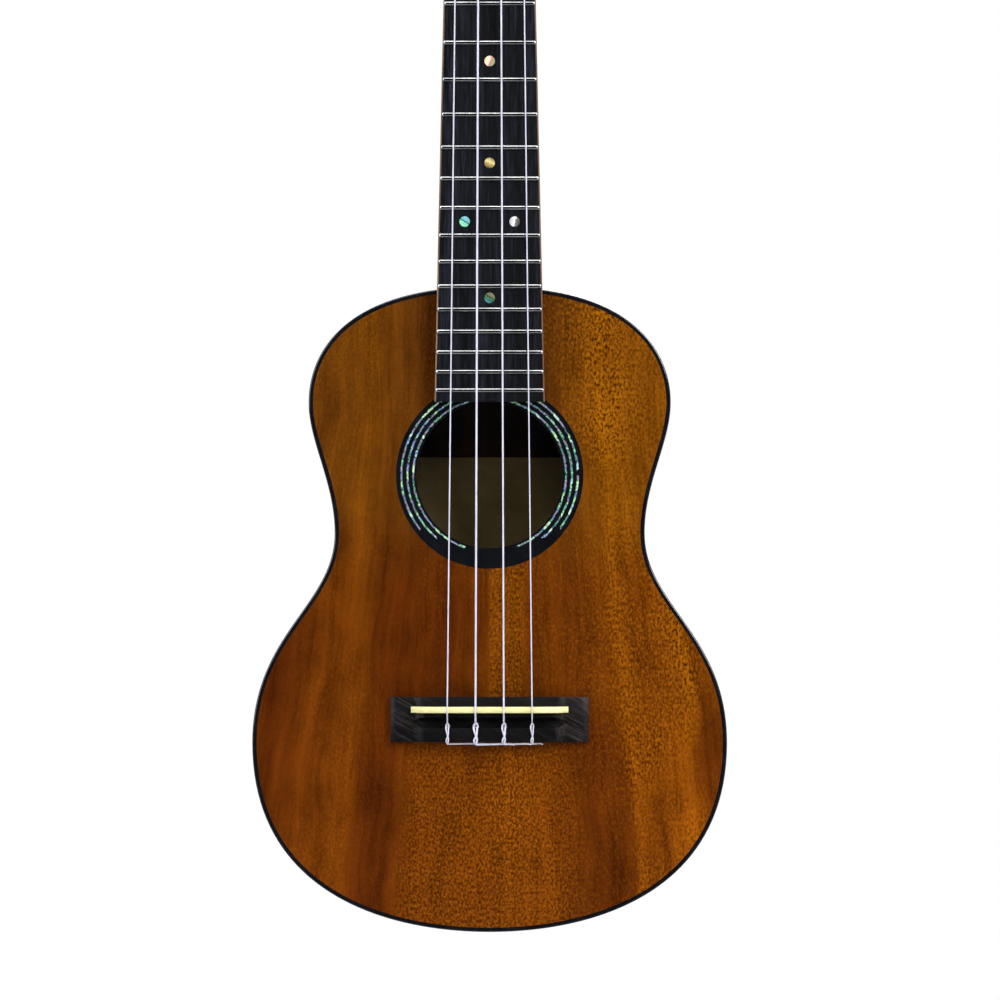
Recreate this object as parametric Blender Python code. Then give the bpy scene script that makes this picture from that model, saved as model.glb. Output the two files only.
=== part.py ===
"""A tenor ukulele with geared tuning machines, in metres.

+Z runs up along the neck, the front faces -Y, and +X is to the right as the player's audience sees it.
The origin is the middle of the nut's front edge, where the string length begins, in the plane that the
neck, the soundboard and the underside of the fingerboard share.
"""

import math

import bmesh
import bpy
from mathutils import Matrix, Vector

MM = 0.001
GAP = 0.2 * MM  # glue line left between pieces that touch

# Strings and fretting
SCALE_LENGTH = 431.8 * MM
FRET_COUNT = 19
NUT_SPACING = 9.94 * MM
SADDLE_SPACING = 13.1 * MM
STRING_DIAMETERS = [0.66 * MM, 0.94 * MM, 0.81 * MM, 0.61 * MM]
STRING_DEPTH_AT_NUT = -6.9 * MM
SADDLE_CREST = 10.4 * MM  # above the soundboard
NUT_FALL = 0.3 * MM  # how far the string slots drop towards the headstock

# Body
PLATE_THICKNESS = 2.0 * MM
BINDING_WIDTH = 2.0 * MM
BINDING_DEPTH = 5.0 * MM
DEPTH_AT_HEEL = 64.0 * MM
DEPTH_AT_TAIL = 72.0 * MM
BODY_TOP = 239.3 * MM  # distances below the nut
BODY_BOTTOM = 539.3 * MM
UPPER_BOUT = (84.1 * MM, -293.5 * MM)
WAIST = (72.0 * MM, -353.9 * MM)
LOWER_BOUT = (110.3 * MM, -451.5 * MM)
HOLE_CENTRE = -327.0 * MM
HOLE_RADIUS = 34.0 * MM
HOLE_STEPS = 44  # sides of the polygon that stands for each large circle
ROSETTE_RADIUS = 43.5 * MM
ROSETTE_DEPTH = 1.0 * MM
SIDE_THICKNESS = 2.2 * MM
LINING_WIDTH = 4.8 * MM
LINING_HEIGHT = 9.0 * MM
LINING_SKIN = 0.3 * MM  # what is left of the linings where a block is glued to the side
BLOCK_HALF_WIDTH = 24.0 * MM
NECK_BLOCK_LENGTH = 26.0 * MM
TAIL_BLOCK_LENGTH = 16.0 * MM
BLOCK_INSET = SIDE_THICKNESS + LINING_SKIN + GAP
BRACE_HEIGHT = 9.0 * MM
TENON = (5.0 * MM, 8.0 * MM, 50.0 * MM, 13.0 * MM)  # half width, front, rear, length into the block

# Neck and fingerboard
NUT_WIDTH = 38.0 * MM
BOARD_TAPER = 0.0451  # growth in width for each unit of length
BOARD_END = -293.0 * MM
BOARD_THICKNESS = 5.0 * MM
NUT_LENGTH = 5.0 * MM
NECK_DEPTH_AT_NUT = 13.5 * MM
NECK_DEPTH_GROWTH = 0.008
HEEL_CAP_WIDTH = 21.0 * MM
HEEL_START = -198.0 * MM
HEEL_CAP_LENGTH = 13.0 * MM

# Headstock, in its own frame: it leans back from the nut's far edge
HEAD_ANGLE = math.radians(13.0)
HEAD_LENGTH = 138.0 * MM
HEAD_THICKNESS = 12.0 * MM
VENEER = 1.5 * MM
POST_ROWS = [60.0 * MM, 100.0 * MM]
POST_OFFSET = 17.0 * MM

# Tuning machine
GEAR_TEETH = 14
GEAR_MODULE = 0.85 * MM
ADDENDUM = 0.6 * MM
DEDENDUM = 0.8 * MM
WORM_PITCH_RADIUS = 2.5 * MM
SHAFT_RADIUS = 1.5 * MM
POST_RADIUS = 2.9 * MM
PLATE_BACK = HEAD_THICKNESS + 1.2 * MM  # depth of the base plate's rear face
GEAR_FRONT = PLATE_BACK + 2.0 * MM
GEAR_THICKNESS = 3.0 * MM
SHAFT_DEPTH = GEAR_FRONT + GEAR_THICKNESS / 2
BUTTON_START = 17.6 * MM  # from the post's axis, out along the shaft

# Bridge
BRIDGE_TOP = -430.0 * MM
BRIDGE_LENGTH = 20.9 * MM
BRIDGE_WIDTH = 92.0 * MM
BRIDGE_HEIGHT = 7.0 * MM
BRIDGE_CENTRE_WIDTH = 61.0 * MM
WING_HEIGHT = 3.6 * MM
SADDLE_WIDTH = 73.0 * MM
SADDLE_LENGTH = 2.9 * MM
SADDLE_Z = -435.85 * MM
CHANNEL = (-439.4 * MM, -444.1 * MM)
CHANNEL_FLOOR = 3.0 * MM
CHANNEL_WIDTH = 73.5 * MM
TIE_HOLE_HEIGHT = 4.2 * MM
TIE_HOLE_RADIUS = 0.85 * MM

GEAR_RADIUS = GEAR_TEETH * GEAR_MODULE / 2
WORM_LEAD = math.pi * GEAR_MODULE
SHAFT_BELOW_POST = GEAR_RADIUS + WORM_PITCH_RADIUS
BACK_SLOPE = (DEPTH_AT_TAIL - DEPTH_AT_HEEL) / (BODY_BOTTOM - BODY_TOP)
HEAD_ORIGIN = Vector((0, 0, NUT_LENGTH))


# ---- general tools ----------------------------------------------------------------------------------


def clear_scene():
    for item in list(bpy.data.objects):
        bpy.data.objects.remove(item, do_unlink=True)


def make_look(name, colour, roughness, metallic=0.0):
    look = bpy.data.materials.new(name)
    look.use_nodes = True
    shader = look.node_tree.nodes["Principled BSDF"]
    shader.inputs["Base Color"].default_value = (*colour, 1.0)
    shader.inputs["Roughness"].default_value = roughness
    shader.inputs["Metallic"].default_value = metallic
    return look


def add_object(name, bm, look, parent=None, location=(0, 0, 0)):
    """Close the mesh, face it outwards and put it in the scene."""
    bmesh.ops.recalc_face_normals(bm, faces=bm.faces)
    mesh = bpy.data.meshes.new(name)
    bm.to_mesh(mesh)
    bm.free()
    mesh.shade_smooth()
    mesh.set_sharp_from_angle(angle=math.radians(35))
    item = bpy.data.objects.new(name, mesh)
    item.data.materials.append(look)
    item.location = location
    item.parent = parent
    bpy.context.scene.collection.objects.link(item)
    return item


def add_empty(name, parent=None, location=(0, 0, 0), rotation=(0, 0, 0)):
    item = bpy.data.objects.new(name, None)
    item.location = location
    item.rotation_euler = rotation
    item.parent = parent
    bpy.context.scene.collection.objects.link(item)
    return item


def combine(target, tool, operation="DIFFERENCE"):
    """Boolean the tool into the target, and keep the tool out of the model."""
    tool.hide_render = True
    tool.display_type = "WIRE"
    modifier = target.modifiers.new(tool.name, "BOOLEAN")
    modifier.operation = operation
    modifier.solver = "EXACT"
    modifier.object = tool


def loft(rings, joined=False, bm=None):
    """Skin a row of matching closed rings; joined makes the last meet the first."""
    bm = bm or bmesh.new()
    rows = [[bm.verts.new(point) for point in ring] for ring in rings]
    pairs = list(zip(rows, rows[1:]))
    if joined:
        pairs.append((rows[-1], rows[0]))
    for near, far in pairs:
        for i in range(len(near)):
            j = (i + 1) % len(near)
            bm.faces.new((near[i], near[j], far[j], far[i]))
    if not joined:
        bm.faces.new(rows[0])
        bm.faces.new(rows[-1])
    return bm


def box(low, high, bm=None):
    ring = [(low[0], low[1]), (high[0], low[1]), (high[0], high[1]), (low[0], high[1])]
    return loft([[(x, y, z) for x, y in ring] for z in (low[2], high[2])], bm=bm)


def plate(outer, holes, front, back):
    """A flat piece between two depths, from an outline and hole outlines of (x, z) points."""
    bm = bmesh.new()
    edges = []
    for outline in [outer, *holes]:
        verts = [bm.verts.new((x, front, z)) for x, z in outline]
        edges += [bm.edges.new((verts[i - 1], verts[i])) for i in range(len(verts))]
    bmesh.ops.triangle_fill(bm, edges=edges, use_beauty=True)
    grown = bmesh.ops.extrude_face_region(bm, geom=bm.faces[:])["geom"]
    rear = [part for part in grown if isinstance(part, bmesh.types.BMVert)]
    bmesh.ops.translate(bm, verts=rear, vec=(0, back - front, 0))
    return bm


def circle(radius, steps, centre=(0, 0)):
    turn = [math.tau * i / steps for i in range(steps)]
    return [(centre[0] + radius * math.cos(a), centre[1] + radius * math.sin(a)) for a in turn]


def turned(profile, steps, axis="Y", bm=None):
    """Spin a profile of (radius, position) about an axis through the origin; both ends are capped."""
    rings = []
    for radius, along in profile:
        points = circle(radius, steps)
        if axis == "Y":
            rings.append([(a, along, b) for a, b in points])
        elif axis == "X":
            rings.append([(along, a, b) for a, b in points])
        else:
            rings.append([(a, b, along) for a, b in points])
    return loft(rings, bm=bm)


def rod(name, radius, start, end, axis, steps, location=(0, 0, 0), parent=None):
    """A plain cylinder used as a cutter."""
    look = make_look(name, (1, 0, 0), 0.5)
    return add_object(name, turned([(radius, start), (radius, end)], steps, axis), look, parent, location)


def bezier(start, start_handle, end_handle, end, steps):
    """Points and tangents of a cubic curve, without its last point."""
    found = []
    for i in range(steps):
        t = i / steps
        u = 1 - t
        point = [
            u**3 * a + 3 * u * u * t * b + 3 * u * t * t * c + t**3 * d
            for a, b, c, d in zip(start, start_handle, end_handle, end)
        ]
        slope = [
            u * u * (b - a) + 2 * u * t * (c - b) + t * t * (d - c)
            for a, b, c, d in zip(start, start_handle, end_handle, end)
        ]
        found.append((Vector(point), Vector(slope)))
    return found


# ---- body outline -----------------------------------------------------------------------------------


def half_outline(steps=10):
    """The right half of the body's edge from the neck round to the tail: points with inward normals."""
    top = (0, -BODY_TOP)
    bottom = (0, -BODY_BOTTOM)
    bout, waist, lower = UPPER_BOUT, WAIST, LOWER_BOUT
    curves = [
        (top, (84.2 * MM, top[1]), (bout[0], bout[1] + 7.1 * MM), bout),
        (bout, (bout[0], bout[1] - 18.1 * MM), (waist[0], waist[1] + 23.4 * MM), waist),
        (waist, (waist[0], waist[1] - 33.7 * MM), (lower[0], lower[1] + 51.2 * MM), lower),
        (lower, (lower[0], lower[1] - 67.6 * MM), (51.6 * MM, bottom[1]), bottom),
    ]
    found = []
    for curve in curves:
        found += bezier(*curve, steps)
    found.append((Vector(bottom), Vector((-1, 0))))
    return [(point, Vector((slope[1], -slope[0])).normalized()) for point, slope in found]


def outline(inset, steps=10):
    """The body's whole edge, moved inwards by an inset, as (x, z) points."""
    right = [point + normal * inset for point, normal in half_outline(steps)]
    left = [Vector((-point[0], point[1])) for point in right[-2:0:-1]]
    return [tuple(point) for point in right + left]


def back_depth(z):
    """Depth of the body's rear face at a height."""
    return DEPTH_AT_HEEL + BACK_SLOPE * (-BODY_TOP - z)


def edge_ring(section, stations):
    """Rings of a section of (inset, depth from front, depth from back) points along an edge.

    A depth from the back is used where the depth from the front is None.
    """
    rings = []
    for point, normal in stations:
        ring = []
        for inset, front, back in section:
            place = point + normal * inset
            depth = front if front is not None else back_depth(place[1]) - back
            ring.append((place[0], depth, place[1]))
        rings.append(ring)
    return rings


def whole_edge():
    right = half_outline()
    left = [(Vector((-p[0], p[1])), Vector((-n[0], n[1]))) for p, n in right[-2:0:-1]]
    return right + left


def make_soundboard(look):
    hole = circle(HOLE_RADIUS, HOLE_STEPS, (0, HOLE_CENTRE))
    item = add_object("soundboard", plate(outline(BINDING_WIDTH + GAP), [hole], 0, PLATE_THICKNESS), look)
    span = [(ROSETTE_RADIUS + GAP, -MM), (ROSETTE_RADIUS + GAP, ROSETTE_DEPTH + GAP)]
    recess = add_object("cut_rosette_recess", turned(span, HOLE_STEPS), look, location=(0, 0, HOLE_CENTRE))
    combine(item, recess)


def make_rosette(look):
    outer, hole = [circle(radius, HOLE_STEPS, (0, HOLE_CENTRE)) for radius in (ROSETTE_RADIUS, HOLE_RADIUS)]
    add_object("rosette", plate(outer, [hole], 0, ROSETTE_DEPTH), look)


def make_back(look):
    bm = plate(outline(BINDING_WIDTH + GAP), [], -PLATE_THICKNESS, 0)
    for vert in bm.verts:
        vert.co.y += back_depth(vert.co.z)
    add_object("back_plate", bm, look)


def make_bindings(look):
    width, depth, round_off = BINDING_WIDTH, BINDING_DEPTH, 0.7 * MM
    front = [(0, round_off, 0), (round_off, 0, 0), (width, 0, 0), (width, depth, 0), (0, depth, 0)]
    add_object("binding_top", loft(edge_ring(front, whole_edge()), joined=True), look)
    back = [(inset, None, level) for inset, level, _ in front]
    add_object("binding_back", loft(edge_ring(back, whole_edge()), joined=True), look)


def between(near, far, x):
    """The place on the straight run between two edge points that has the given x."""
    share = (x - near[0][0]) / (far[0][0] - near[0][0])
    return near[0].lerp(far[0], share), near[1].lerp(far[1], share)


def make_side(name, hand, look):
    """One bent rib with its front and back linings, which stop at the neck and tail blocks."""
    edge_line = half_outline()
    # The ribs leave room for the tenon at the neck, and nearly meet at the tail.
    edge_line[0] = between(edge_line[0], edge_line[1], 5.5 * MM)
    edge_line[-1] = between(edge_line[-1], edge_line[-2], 0.15 * MM)
    stations = []
    for point, normal in edge_line:
        at_block = abs(point[0]) < (BLOCK_HALF_WIDTH + MM)
        stations.append((point, normal, LINING_SKIN if at_block else LINING_WIDTH))
    rings = []
    edge = BINDING_DEPTH + GAP
    seat = PLATE_THICKNESS + GAP
    for point, normal, lining in stations:
        inner = SIDE_THICKNESS + lining
        section = [(0, edge, 0), (SIDE_THICKNESS, edge, 0), (SIDE_THICKNESS, seat, 0), (inner, seat, 0)]
        section += [(inner, seat + LINING_HEIGHT / 2, 0), (SIDE_THICKNESS, seat + LINING_HEIGHT, 0)]
        section += [(inset, None, front) for inset, front, _ in section[::-1]]
        rings += edge_ring(section, [(point, normal)])
    rings = [[(hand * x, y, z) for x, y, z in ring] for ring in rings]
    add_object(name, loft(rings), look)


def make_block(name, at_top, length, look):
    """A block glued inside the sides, its outer face following the body's edge."""
    edge = [point for point in outline(BLOCK_INSET) if abs(point[0]) < BLOCK_HALF_WIDTH]
    middle = (BODY_TOP + BODY_BOTTOM) / 2
    edge = sorted(point for point in edge if (point[1] > -middle) == at_top)
    inner = edge[0][1] + (-length if at_top else length)
    points = edge + [(edge[-1][0], inner), (edge[0][0], inner)]
    clear = PLATE_THICKNESS + GAP
    front = [(x, clear, z) for x, z in points]
    rear = [(x, back_depth(z) - clear, z) for x, z in points]
    return add_object(name, loft([front, rear]), look)


def make_neck_block(look):
    """The block behind the neck joint, with a mortise for the neck's tenon."""
    block = make_block("neck_block", True, NECK_BLOCK_LENGTH, look)
    half, front, rear, reach = TENON
    room = 0.3 * MM
    low = (-half - room, front - room, -BODY_TOP - reach - room)
    mortise = box(low, (half + room, rear + room, -BODY_TOP + 5 * MM))
    combine(block, add_object("cut_mortise", mortise, look))


# ---- braces -----------------------------------------------------------------------------------------


def make_brace(name, profile, width, look, location=(0, 0, 0), rotation=(0, 0, 0)):
    """A brace from its side profile of (along, height) points; it runs along its own X."""
    rings = [[(along, height, across) for along, height in profile] for across in (-width / 2, width / 2)]
    item = add_object(name, loft(rings), look, location=location)
    item.rotation_euler = rotation
    return item


def tapered(half, height, tip=2.0 * MM, scoop=18.0 * MM):
    return [(-half, 0), (half, 0), (half, tip), (half - scoop, height), (scoop - half, height), (-half, tip)]


def make_braces(look):
    seat = PLATE_THICKNESS + GAP
    make_brace("upper_brace", tapered(74 * MM, BRACE_HEIGHT), 6 * MM, look, (0, seat, -284 * MM))
    make_brace("lower_brace", tapered(63 * MM, BRACE_HEIGHT), 6 * MM, look, (0, seat, -370 * MM))
    patch_half, patch_middle, patch_thickness = 17 * MM, -440.5 * MM, 2 * MM
    patch = box((-48 * MM, seat, -patch_half), (48 * MM, seat + patch_thickness, patch_half))
    add_object("bridge_patch", patch, look, location=(0, 0, patch_middle))
    top, bottom = -376 * MM, -502 * MM
    middle = (top + bottom) / 2
    for name, lean in (("fan_brace_bass", -1), ("fan_brace_centre", 0), ("fan_brace_treble", 1)):
        angle = math.radians(13.0) * lean
        half = (top - bottom) / 2
        notch = patch_thickness + GAP
        # Along the brace, positive is towards the tail. The notch steps over the bridge patch.
        notch_start = middle - (patch_middle + patch_half + 3 * MM)
        notch_end = middle - (patch_middle - patch_half - 3 * MM)
        profile = [(-half, 0), (notch_start, 0), (notch_start, notch), (notch_end, notch), (notch_end, 0)]
        profile += [(half, 0), (half, 1.5 * MM), (half - 22 * MM, 7 * MM), (22 * MM - half, 7 * MM)]
        profile += [(-half, 1.5 * MM)]
        place = (lean * 29 * MM, seat, middle)
        make_brace(name, profile, 5 * MM, look, place, (0, math.pi / 2 - angle, 0))


# ---- neck and fingerboard ---------------------------------------------------------------------------


def board_half_width(z):
    return (NUT_WIDTH - BOARD_TAPER * z) / 2


def fret_z(number):
    return -SCALE_LENGTH * (1 - 2 ** (-number / 12))


def head_outline(steps=8):
    """Right half of the headstock's edge, from the nut up to the middle of the crown, as (x, z) points."""
    half = NUT_WIDTH / 2
    flare = (31.0 * MM, 44 * MM)
    corner = (33.5 * MM, HEAD_LENGTH - 25 * MM)
    curves = [
        ((half, 0), (half, 18 * MM), (flare[0] - 1.5 * MM, flare[1] - 16 * MM), flare),
        (flare, (flare[0] + 1.2 * MM, flare[1] + 13 * MM), (corner[0], corner[1] - 20 * MM), corner),
        (corner, (corner[0], HEAD_LENGTH - 6 * MM), (20 * MM, HEAD_LENGTH), (0, HEAD_LENGTH)),
    ]
    found = []
    for curve in curves:
        found += [tuple(point) for point, _ in bezier(*curve, steps)]
    return found + [(0, HEAD_LENGTH)]


def heel_half_width(half, depth):
    """Half the heel's width at a depth: it narrows from the fingerboard's edge to the cap."""
    cap_half = HEEL_CAP_WIDTH / 2
    return cap_half + (half - cap_half) * (1 - min(1.0, depth / DEPTH_AT_HEEL)) ** 1.7


def neck_section(half, depth, squareness, heel):
    """The neck's cross-section as (x, depth) points: flat front, round back, blended into the heel."""
    steps, cap_steps = 8, 2
    chamfer = 0.9 * MM
    side = []
    for i in range(steps + 1):
        angle = math.pi / 2 * i / steps
        x = half * math.cos(angle) ** squareness if i < steps else 0.0
        y = 0.8 * MM + (depth - 0.8 * MM) * math.sin(angle) ** squareness
        heel_y = 0.8 * MM + (depth - 0.8 * MM - chamfer) * min(1.0, i / (steps - cap_steps))
        heel_x = heel_half_width(half, heel_y)
        if i > steps - cap_steps:
            heel_x = (heel_half_width(half, depth) - chamfer) * (steps - i)
            heel_y = depth
        side.append((x + (heel_x - x) * heel, y + (heel_y - y) * heel))
    left = [(-x, y) for x, y in side[-2::-1]]
    return [(-half, 0), (half, 0)] + side + left


def smooth_step(value):
    value = min(1.0, max(0.0, value))
    return value * value * (3 - 2 * value)


def head_point(x, y, z):
    return Matrix.Rotation(-HEAD_ANGLE, 3, "X") @ Vector((x, y, z)) + HEAD_ORIGIN


def make_neck(look, head):
    rings = []
    skin = 0.05 * MM  # keeps the neck's root just inside the headstock where the two join
    for x, z in head_outline()[5::-1]:
        squareness = 1 - 0.97 * smooth_step(z / (22 * MM))
        extra = 1.4 * MM * (1 - smooth_step(z / (20 * MM)))
        section = neck_section(x - skin, HEAD_THICKNESS + extra - skin, squareness, 0)
        rings.append([head_point(px, py + skin, z) for px, py in section])
    cap_start = -BODY_TOP + HEEL_CAP_LENGTH
    stops = [0.0, -66 * MM, -132 * MM]
    stops += [HEEL_START + (cap_start - HEEL_START) * math.sin(math.radians(a)) for a in range(0, 91, 9)]
    stops += [-BODY_TOP - 4 * MM]
    for z in stops:
        shaft = NECK_DEPTH_AT_NUT - NECK_DEPTH_GROWTH * z
        share = min(1.0, max(0.0, (HEEL_START - z) / (HEEL_START - cap_start)))
        deep = (DEPTH_AT_HEEL - 0.4 * MM) - shaft
        depth = shaft + deep * (1 - math.sqrt(1 - share * share))
        section = neck_section(board_half_width(z), depth, 1.0, smooth_step((share - 0.3) / 0.7))
        rings.append([(x, y, z) for x, y in section])
    neck = add_object("neck", loft(rings), look)

    body = add_object("cut_body_envelope", plate(outline(-GAP), [], -10 * MM, 90 * MM), look)
    combine(neck, body)
    half, front, rear, reach = TENON
    tenon = box((-half, front, -BODY_TOP - reach), (half, rear, -BODY_TOP + 4 * MM))
    combine(neck, add_object("add_tenon", tenon, look), "UNION")

    half = [point for point in head_outline() if point[1] > 20 * MM]
    outer = half + [(-x, z) for x, z in half[-2::-1]]
    board = add_object("add_headstock", plate(outer, [], 0, HEAD_THICKNESS), look, parent=head)
    combine(neck, board, "UNION")
    for number, (x, z) in enumerate(post_places(), 1):
        hole = rod(f"cut_neck_post_{number}", 4.3 * MM, -5 * MM, 20 * MM, "Y", 20, (x, 0, z), head)
        combine(neck, hole)


def make_headplate(look, head):
    half = [point for point in head_outline() if point[1] > 0]
    outer = [(NUT_WIDTH / 2, 0.4 * MM)] + half
    outer += [(-x, z) for x, z in outer[-2::-1]]
    holes = [circle(4.3 * MM, 20, place) for place in post_places()]
    add_object("headplate", plate(outer, holes, -GAP - VENEER, -GAP), look, parent=head)


def make_fingerboard(look):
    rings = []
    for z in (-GAP, BOARD_END):
        half = board_half_width(z)
        top = BOARD_THICKNESS
        edge = 0.4 * MM
        section = [(-half, -GAP), (half, -GAP), (half, edge - top), (half - edge, -top)]
        section += [(edge - half, -top), (-half, edge - top)]
        rings.append([(x, y, z) for x, y in section])
    board = add_object("fingerboard", loft(rings), look)
    slots = bmesh.new()
    slot_half, slot_depth, beyond = 0.45 * MM, 2.0 * MM, 40 * MM
    for number in range(1, FRET_COUNT + 1):
        z = fret_z(number)
        low = (-beyond, -BOARD_THICKNESS - MM, z - slot_half)
        box(low, (beyond, slot_depth - BOARD_THICKNESS, z + slot_half), slots)
    combine(board, add_object("cut_fret_slots", slots, look))


def make_frets(look):
    """Half-round crowns with a tang below, their ends bevelled."""
    half_crown, height, tang_half, tang_depth = 1.0 * MM, 1.0 * MM, 0.22 * MM, 1.7 * MM
    arc = [math.pi * i / 5 for i in range(6)]
    crown = [(half_crown * math.cos(a), -height * math.sin(a)) for a in arc]
    tang = [(-tang_half, 0), (-tang_half, tang_depth), (tang_half, tang_depth), (tang_half, 0)]
    seat = -BOARD_THICKNESS - 0.05 * MM
    for number in range(1, FRET_COUNT + 1):
        z = fret_z(number)
        end = board_half_width(z) - 0.15 * MM
        rings = []
        for x, rise in ((-end, 0.25), (0.7 * MM - end, 1), (end - 0.7 * MM, 1), (end, 0.25)):
            rings.append([(x, seat + y * (rise if y < 0 else 1), across) for across, y in crown + tang])
        add_object(f"fret_{number:02d}", loft(rings), look, location=(0, 0, z))


def make_nut(look):
    half, base, front, rear = NUT_WIDTH / 2, -GAP, -7.0 * MM, -6.3 * MM
    profile = [(0, base), (0, front), (1.0 * MM, front - 0.1 * MM)]
    profile += [(NUT_LENGTH - GAP, rear), (NUT_LENGTH - GAP, base)]
    nut = add_object("nut", loft([[(x, y, z) for z, y in profile] for x in (-half, half)]), look)
    for number, (x, _) in enumerate(string_ends(), 1):
        radius = STRING_DIAMETERS[number - 1] / 2 + 0.2 * MM
        slot = rod(f"cut_nut_slot_{number}", radius, -12 * MM, 12 * MM, "Z", 12, (x, STRING_DEPTH_AT_NUT, 0))
        slot.rotation_euler = (-math.atan2(NUT_FALL, NUT_LENGTH), 0, 0)
        combine(nut, slot)


# ---- bridge -----------------------------------------------------------------------------------------


def make_bridge(look):
    high, wing = BRIDGE_HEIGHT, WING_HEIGHT
    end, centre = BRIDGE_WIDTH / 2, BRIDGE_CENTRE_WIDTH / 2
    half_heights = [(centre, high), (centre + 0.9 * MM, high - 1.2 * MM)]
    half_heights += [(centre + 2.6 * MM, wing + 0.6 * MM), (centre + 6 * MM, wing)]
    half_heights += [(end - 4 * MM, wing), (end - 0.6 * MM, wing - 0.5 * MM), (end, wing - 1.2 * MM)]
    stations = [(-x, height) for x, height in half_heights[::-1]] + half_heights
    top, bottom, edge = BRIDGE_TOP, BRIDGE_TOP - BRIDGE_LENGTH, 0.8 * MM
    rings = []
    for x, height in stations:
        section = [(top, -GAP), (top, edge - height), (top - edge, -height)]
        section += [(bottom + edge, -height), (bottom, edge - height), (bottom, -GAP)]
        rings.append([(x, y, z) for z, y in section])
    bridge = add_object("bridge", loft(rings), look)
    slot_half = SADDLE_LENGTH / 2 + GAP
    slot_end = SADDLE_WIDTH / 2 + GAP
    slot = box((-slot_end, -9 * MM, SADDLE_Z - slot_half), (slot_end, -1.4 * MM, SADDLE_Z + slot_half))
    combine(bridge, add_object("cut_saddle_slot", slot, look))
    near, far = CHANNEL
    tip, shoulder = CHANNEL_WIDTH / 2, CHANNEL_WIDTH / 2 - 5.5 * MM
    groove = [(tip, (near + far) / 2), (shoulder, near), (-shoulder, near)]
    groove += [(-tip, (near + far) / 2), (-shoulder, far), (shoulder, far)]
    channel = loft([[(x, y, z) for x, z in groove] for y in (-9 * MM, -CHANNEL_FLOOR)])
    combine(bridge, add_object("cut_tie_channel", channel, look))
    for number, (_, x) in enumerate(string_ends(), 1):
        place = (x, -TIE_HOLE_HEIGHT, CHANNEL[1] - 2 * MM)
        hole = rod(f"cut_tie_hole_{number}", TIE_HOLE_RADIUS, -9 * MM, 4.5 * MM, "Z", 10, place)
        combine(bridge, hole)


def make_saddle(look):
    """A bar with a rounded crest whose ends slope down beyond the outer strings."""
    half, shoulder = SADDLE_WIDTH / 2, BRIDGE_CENTRE_WIDTH / 2
    base, thick = -1.6 * MM, SADDLE_LENGTH / 2
    rings = []
    for x, top in ((-half, 5.2 * MM), (-shoulder, SADDLE_CREST), (shoulder, SADDLE_CREST), (half, 5.2 * MM)):
        section = [(-thick, base), (-thick, 0.9 * MM - top), (-thick * 0.5, 0.15 * MM - top), (0, -top)]
        section += [(thick * 0.5, 0.15 * MM - top), (thick, 0.9 * MM - top), (thick, base)]
        rings.append([(x, y, z) for z, y in section])
    add_object("saddle", loft(rings), look, location=(0, 0, SADDLE_Z))


# ---- tuning machines --------------------------------------------------------------------------------


def post_places():
    """The posts' (x, z) in the headstock's frame: bass low, bass high, treble high, treble low."""
    low, high = POST_ROWS
    return [(-POST_OFFSET, low), (-POST_OFFSET, high), (POST_OFFSET, high), (POST_OFFSET, low)]


def gear_profile(depth, hand):
    """The gear's outline at a depth; its teeth lean with the worm's thread."""
    twist = -hand * WORM_LEAD / math.tau * (depth - SHAFT_DEPTH) / WORM_PITCH_RADIUS / GEAR_RADIUS
    root, tip = GEAR_RADIUS - DEDENDUM, GEAR_RADIUS + ADDENDUM
    pitch = math.tau / GEAR_TEETH
    points = []
    for tooth in range(GEAR_TEETH):
        middle = -math.pi / 2 + twist + tooth * pitch + pitch / 2
        for radius, share in ((root, -0.29), (tip, -0.13), (tip, 0.13), (root, 0.29)):
            angle = middle + share * pitch
            points.append((radius * math.cos(angle), radius * math.sin(angle)))
    return points


def make_post(name, hand, look, parent):
    """The string post with its gear: the gear's face is one end of a turned shaft."""
    rear = GEAR_FRONT + GEAR_THICKNESS
    gear = bmesh.new()
    levels = [GEAR_FRONT, rear]
    loft([[(x, depth, z) for x, z in gear_profile(depth, hand)] for depth in levels], bm=gear)
    item = add_object(name, gear, look, parent)
    tip = -14.0 * MM
    waist = POST_RADIUS - 0.35 * MM
    profile = [(waist, tip), (POST_RADIUS, tip + 0.7 * MM), (POST_RADIUS, -11.2 * MM), (waist, -10.2 * MM)]
    profile += [(waist, -4.6 * MM), (POST_RADIUS, -3.6 * MM), (POST_RADIUS, PLATE_BACK + 0.3 * MM)]
    profile += [(4.2 * MM, PLATE_BACK + 0.3 * MM), (4.2 * MM, rear + 0.6 * MM)]
    shaft = add_object(f"add_{name}_shaft", turned(profile, 16), look, parent)
    combine(item, shaft, "UNION")
    hole = rod(f"cut_{name}_hole", 0.7 * MM, -5 * MM, 5 * MM, "X", 8, (0, -10.7 * MM, 0), parent)
    combine(item, hole)


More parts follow.
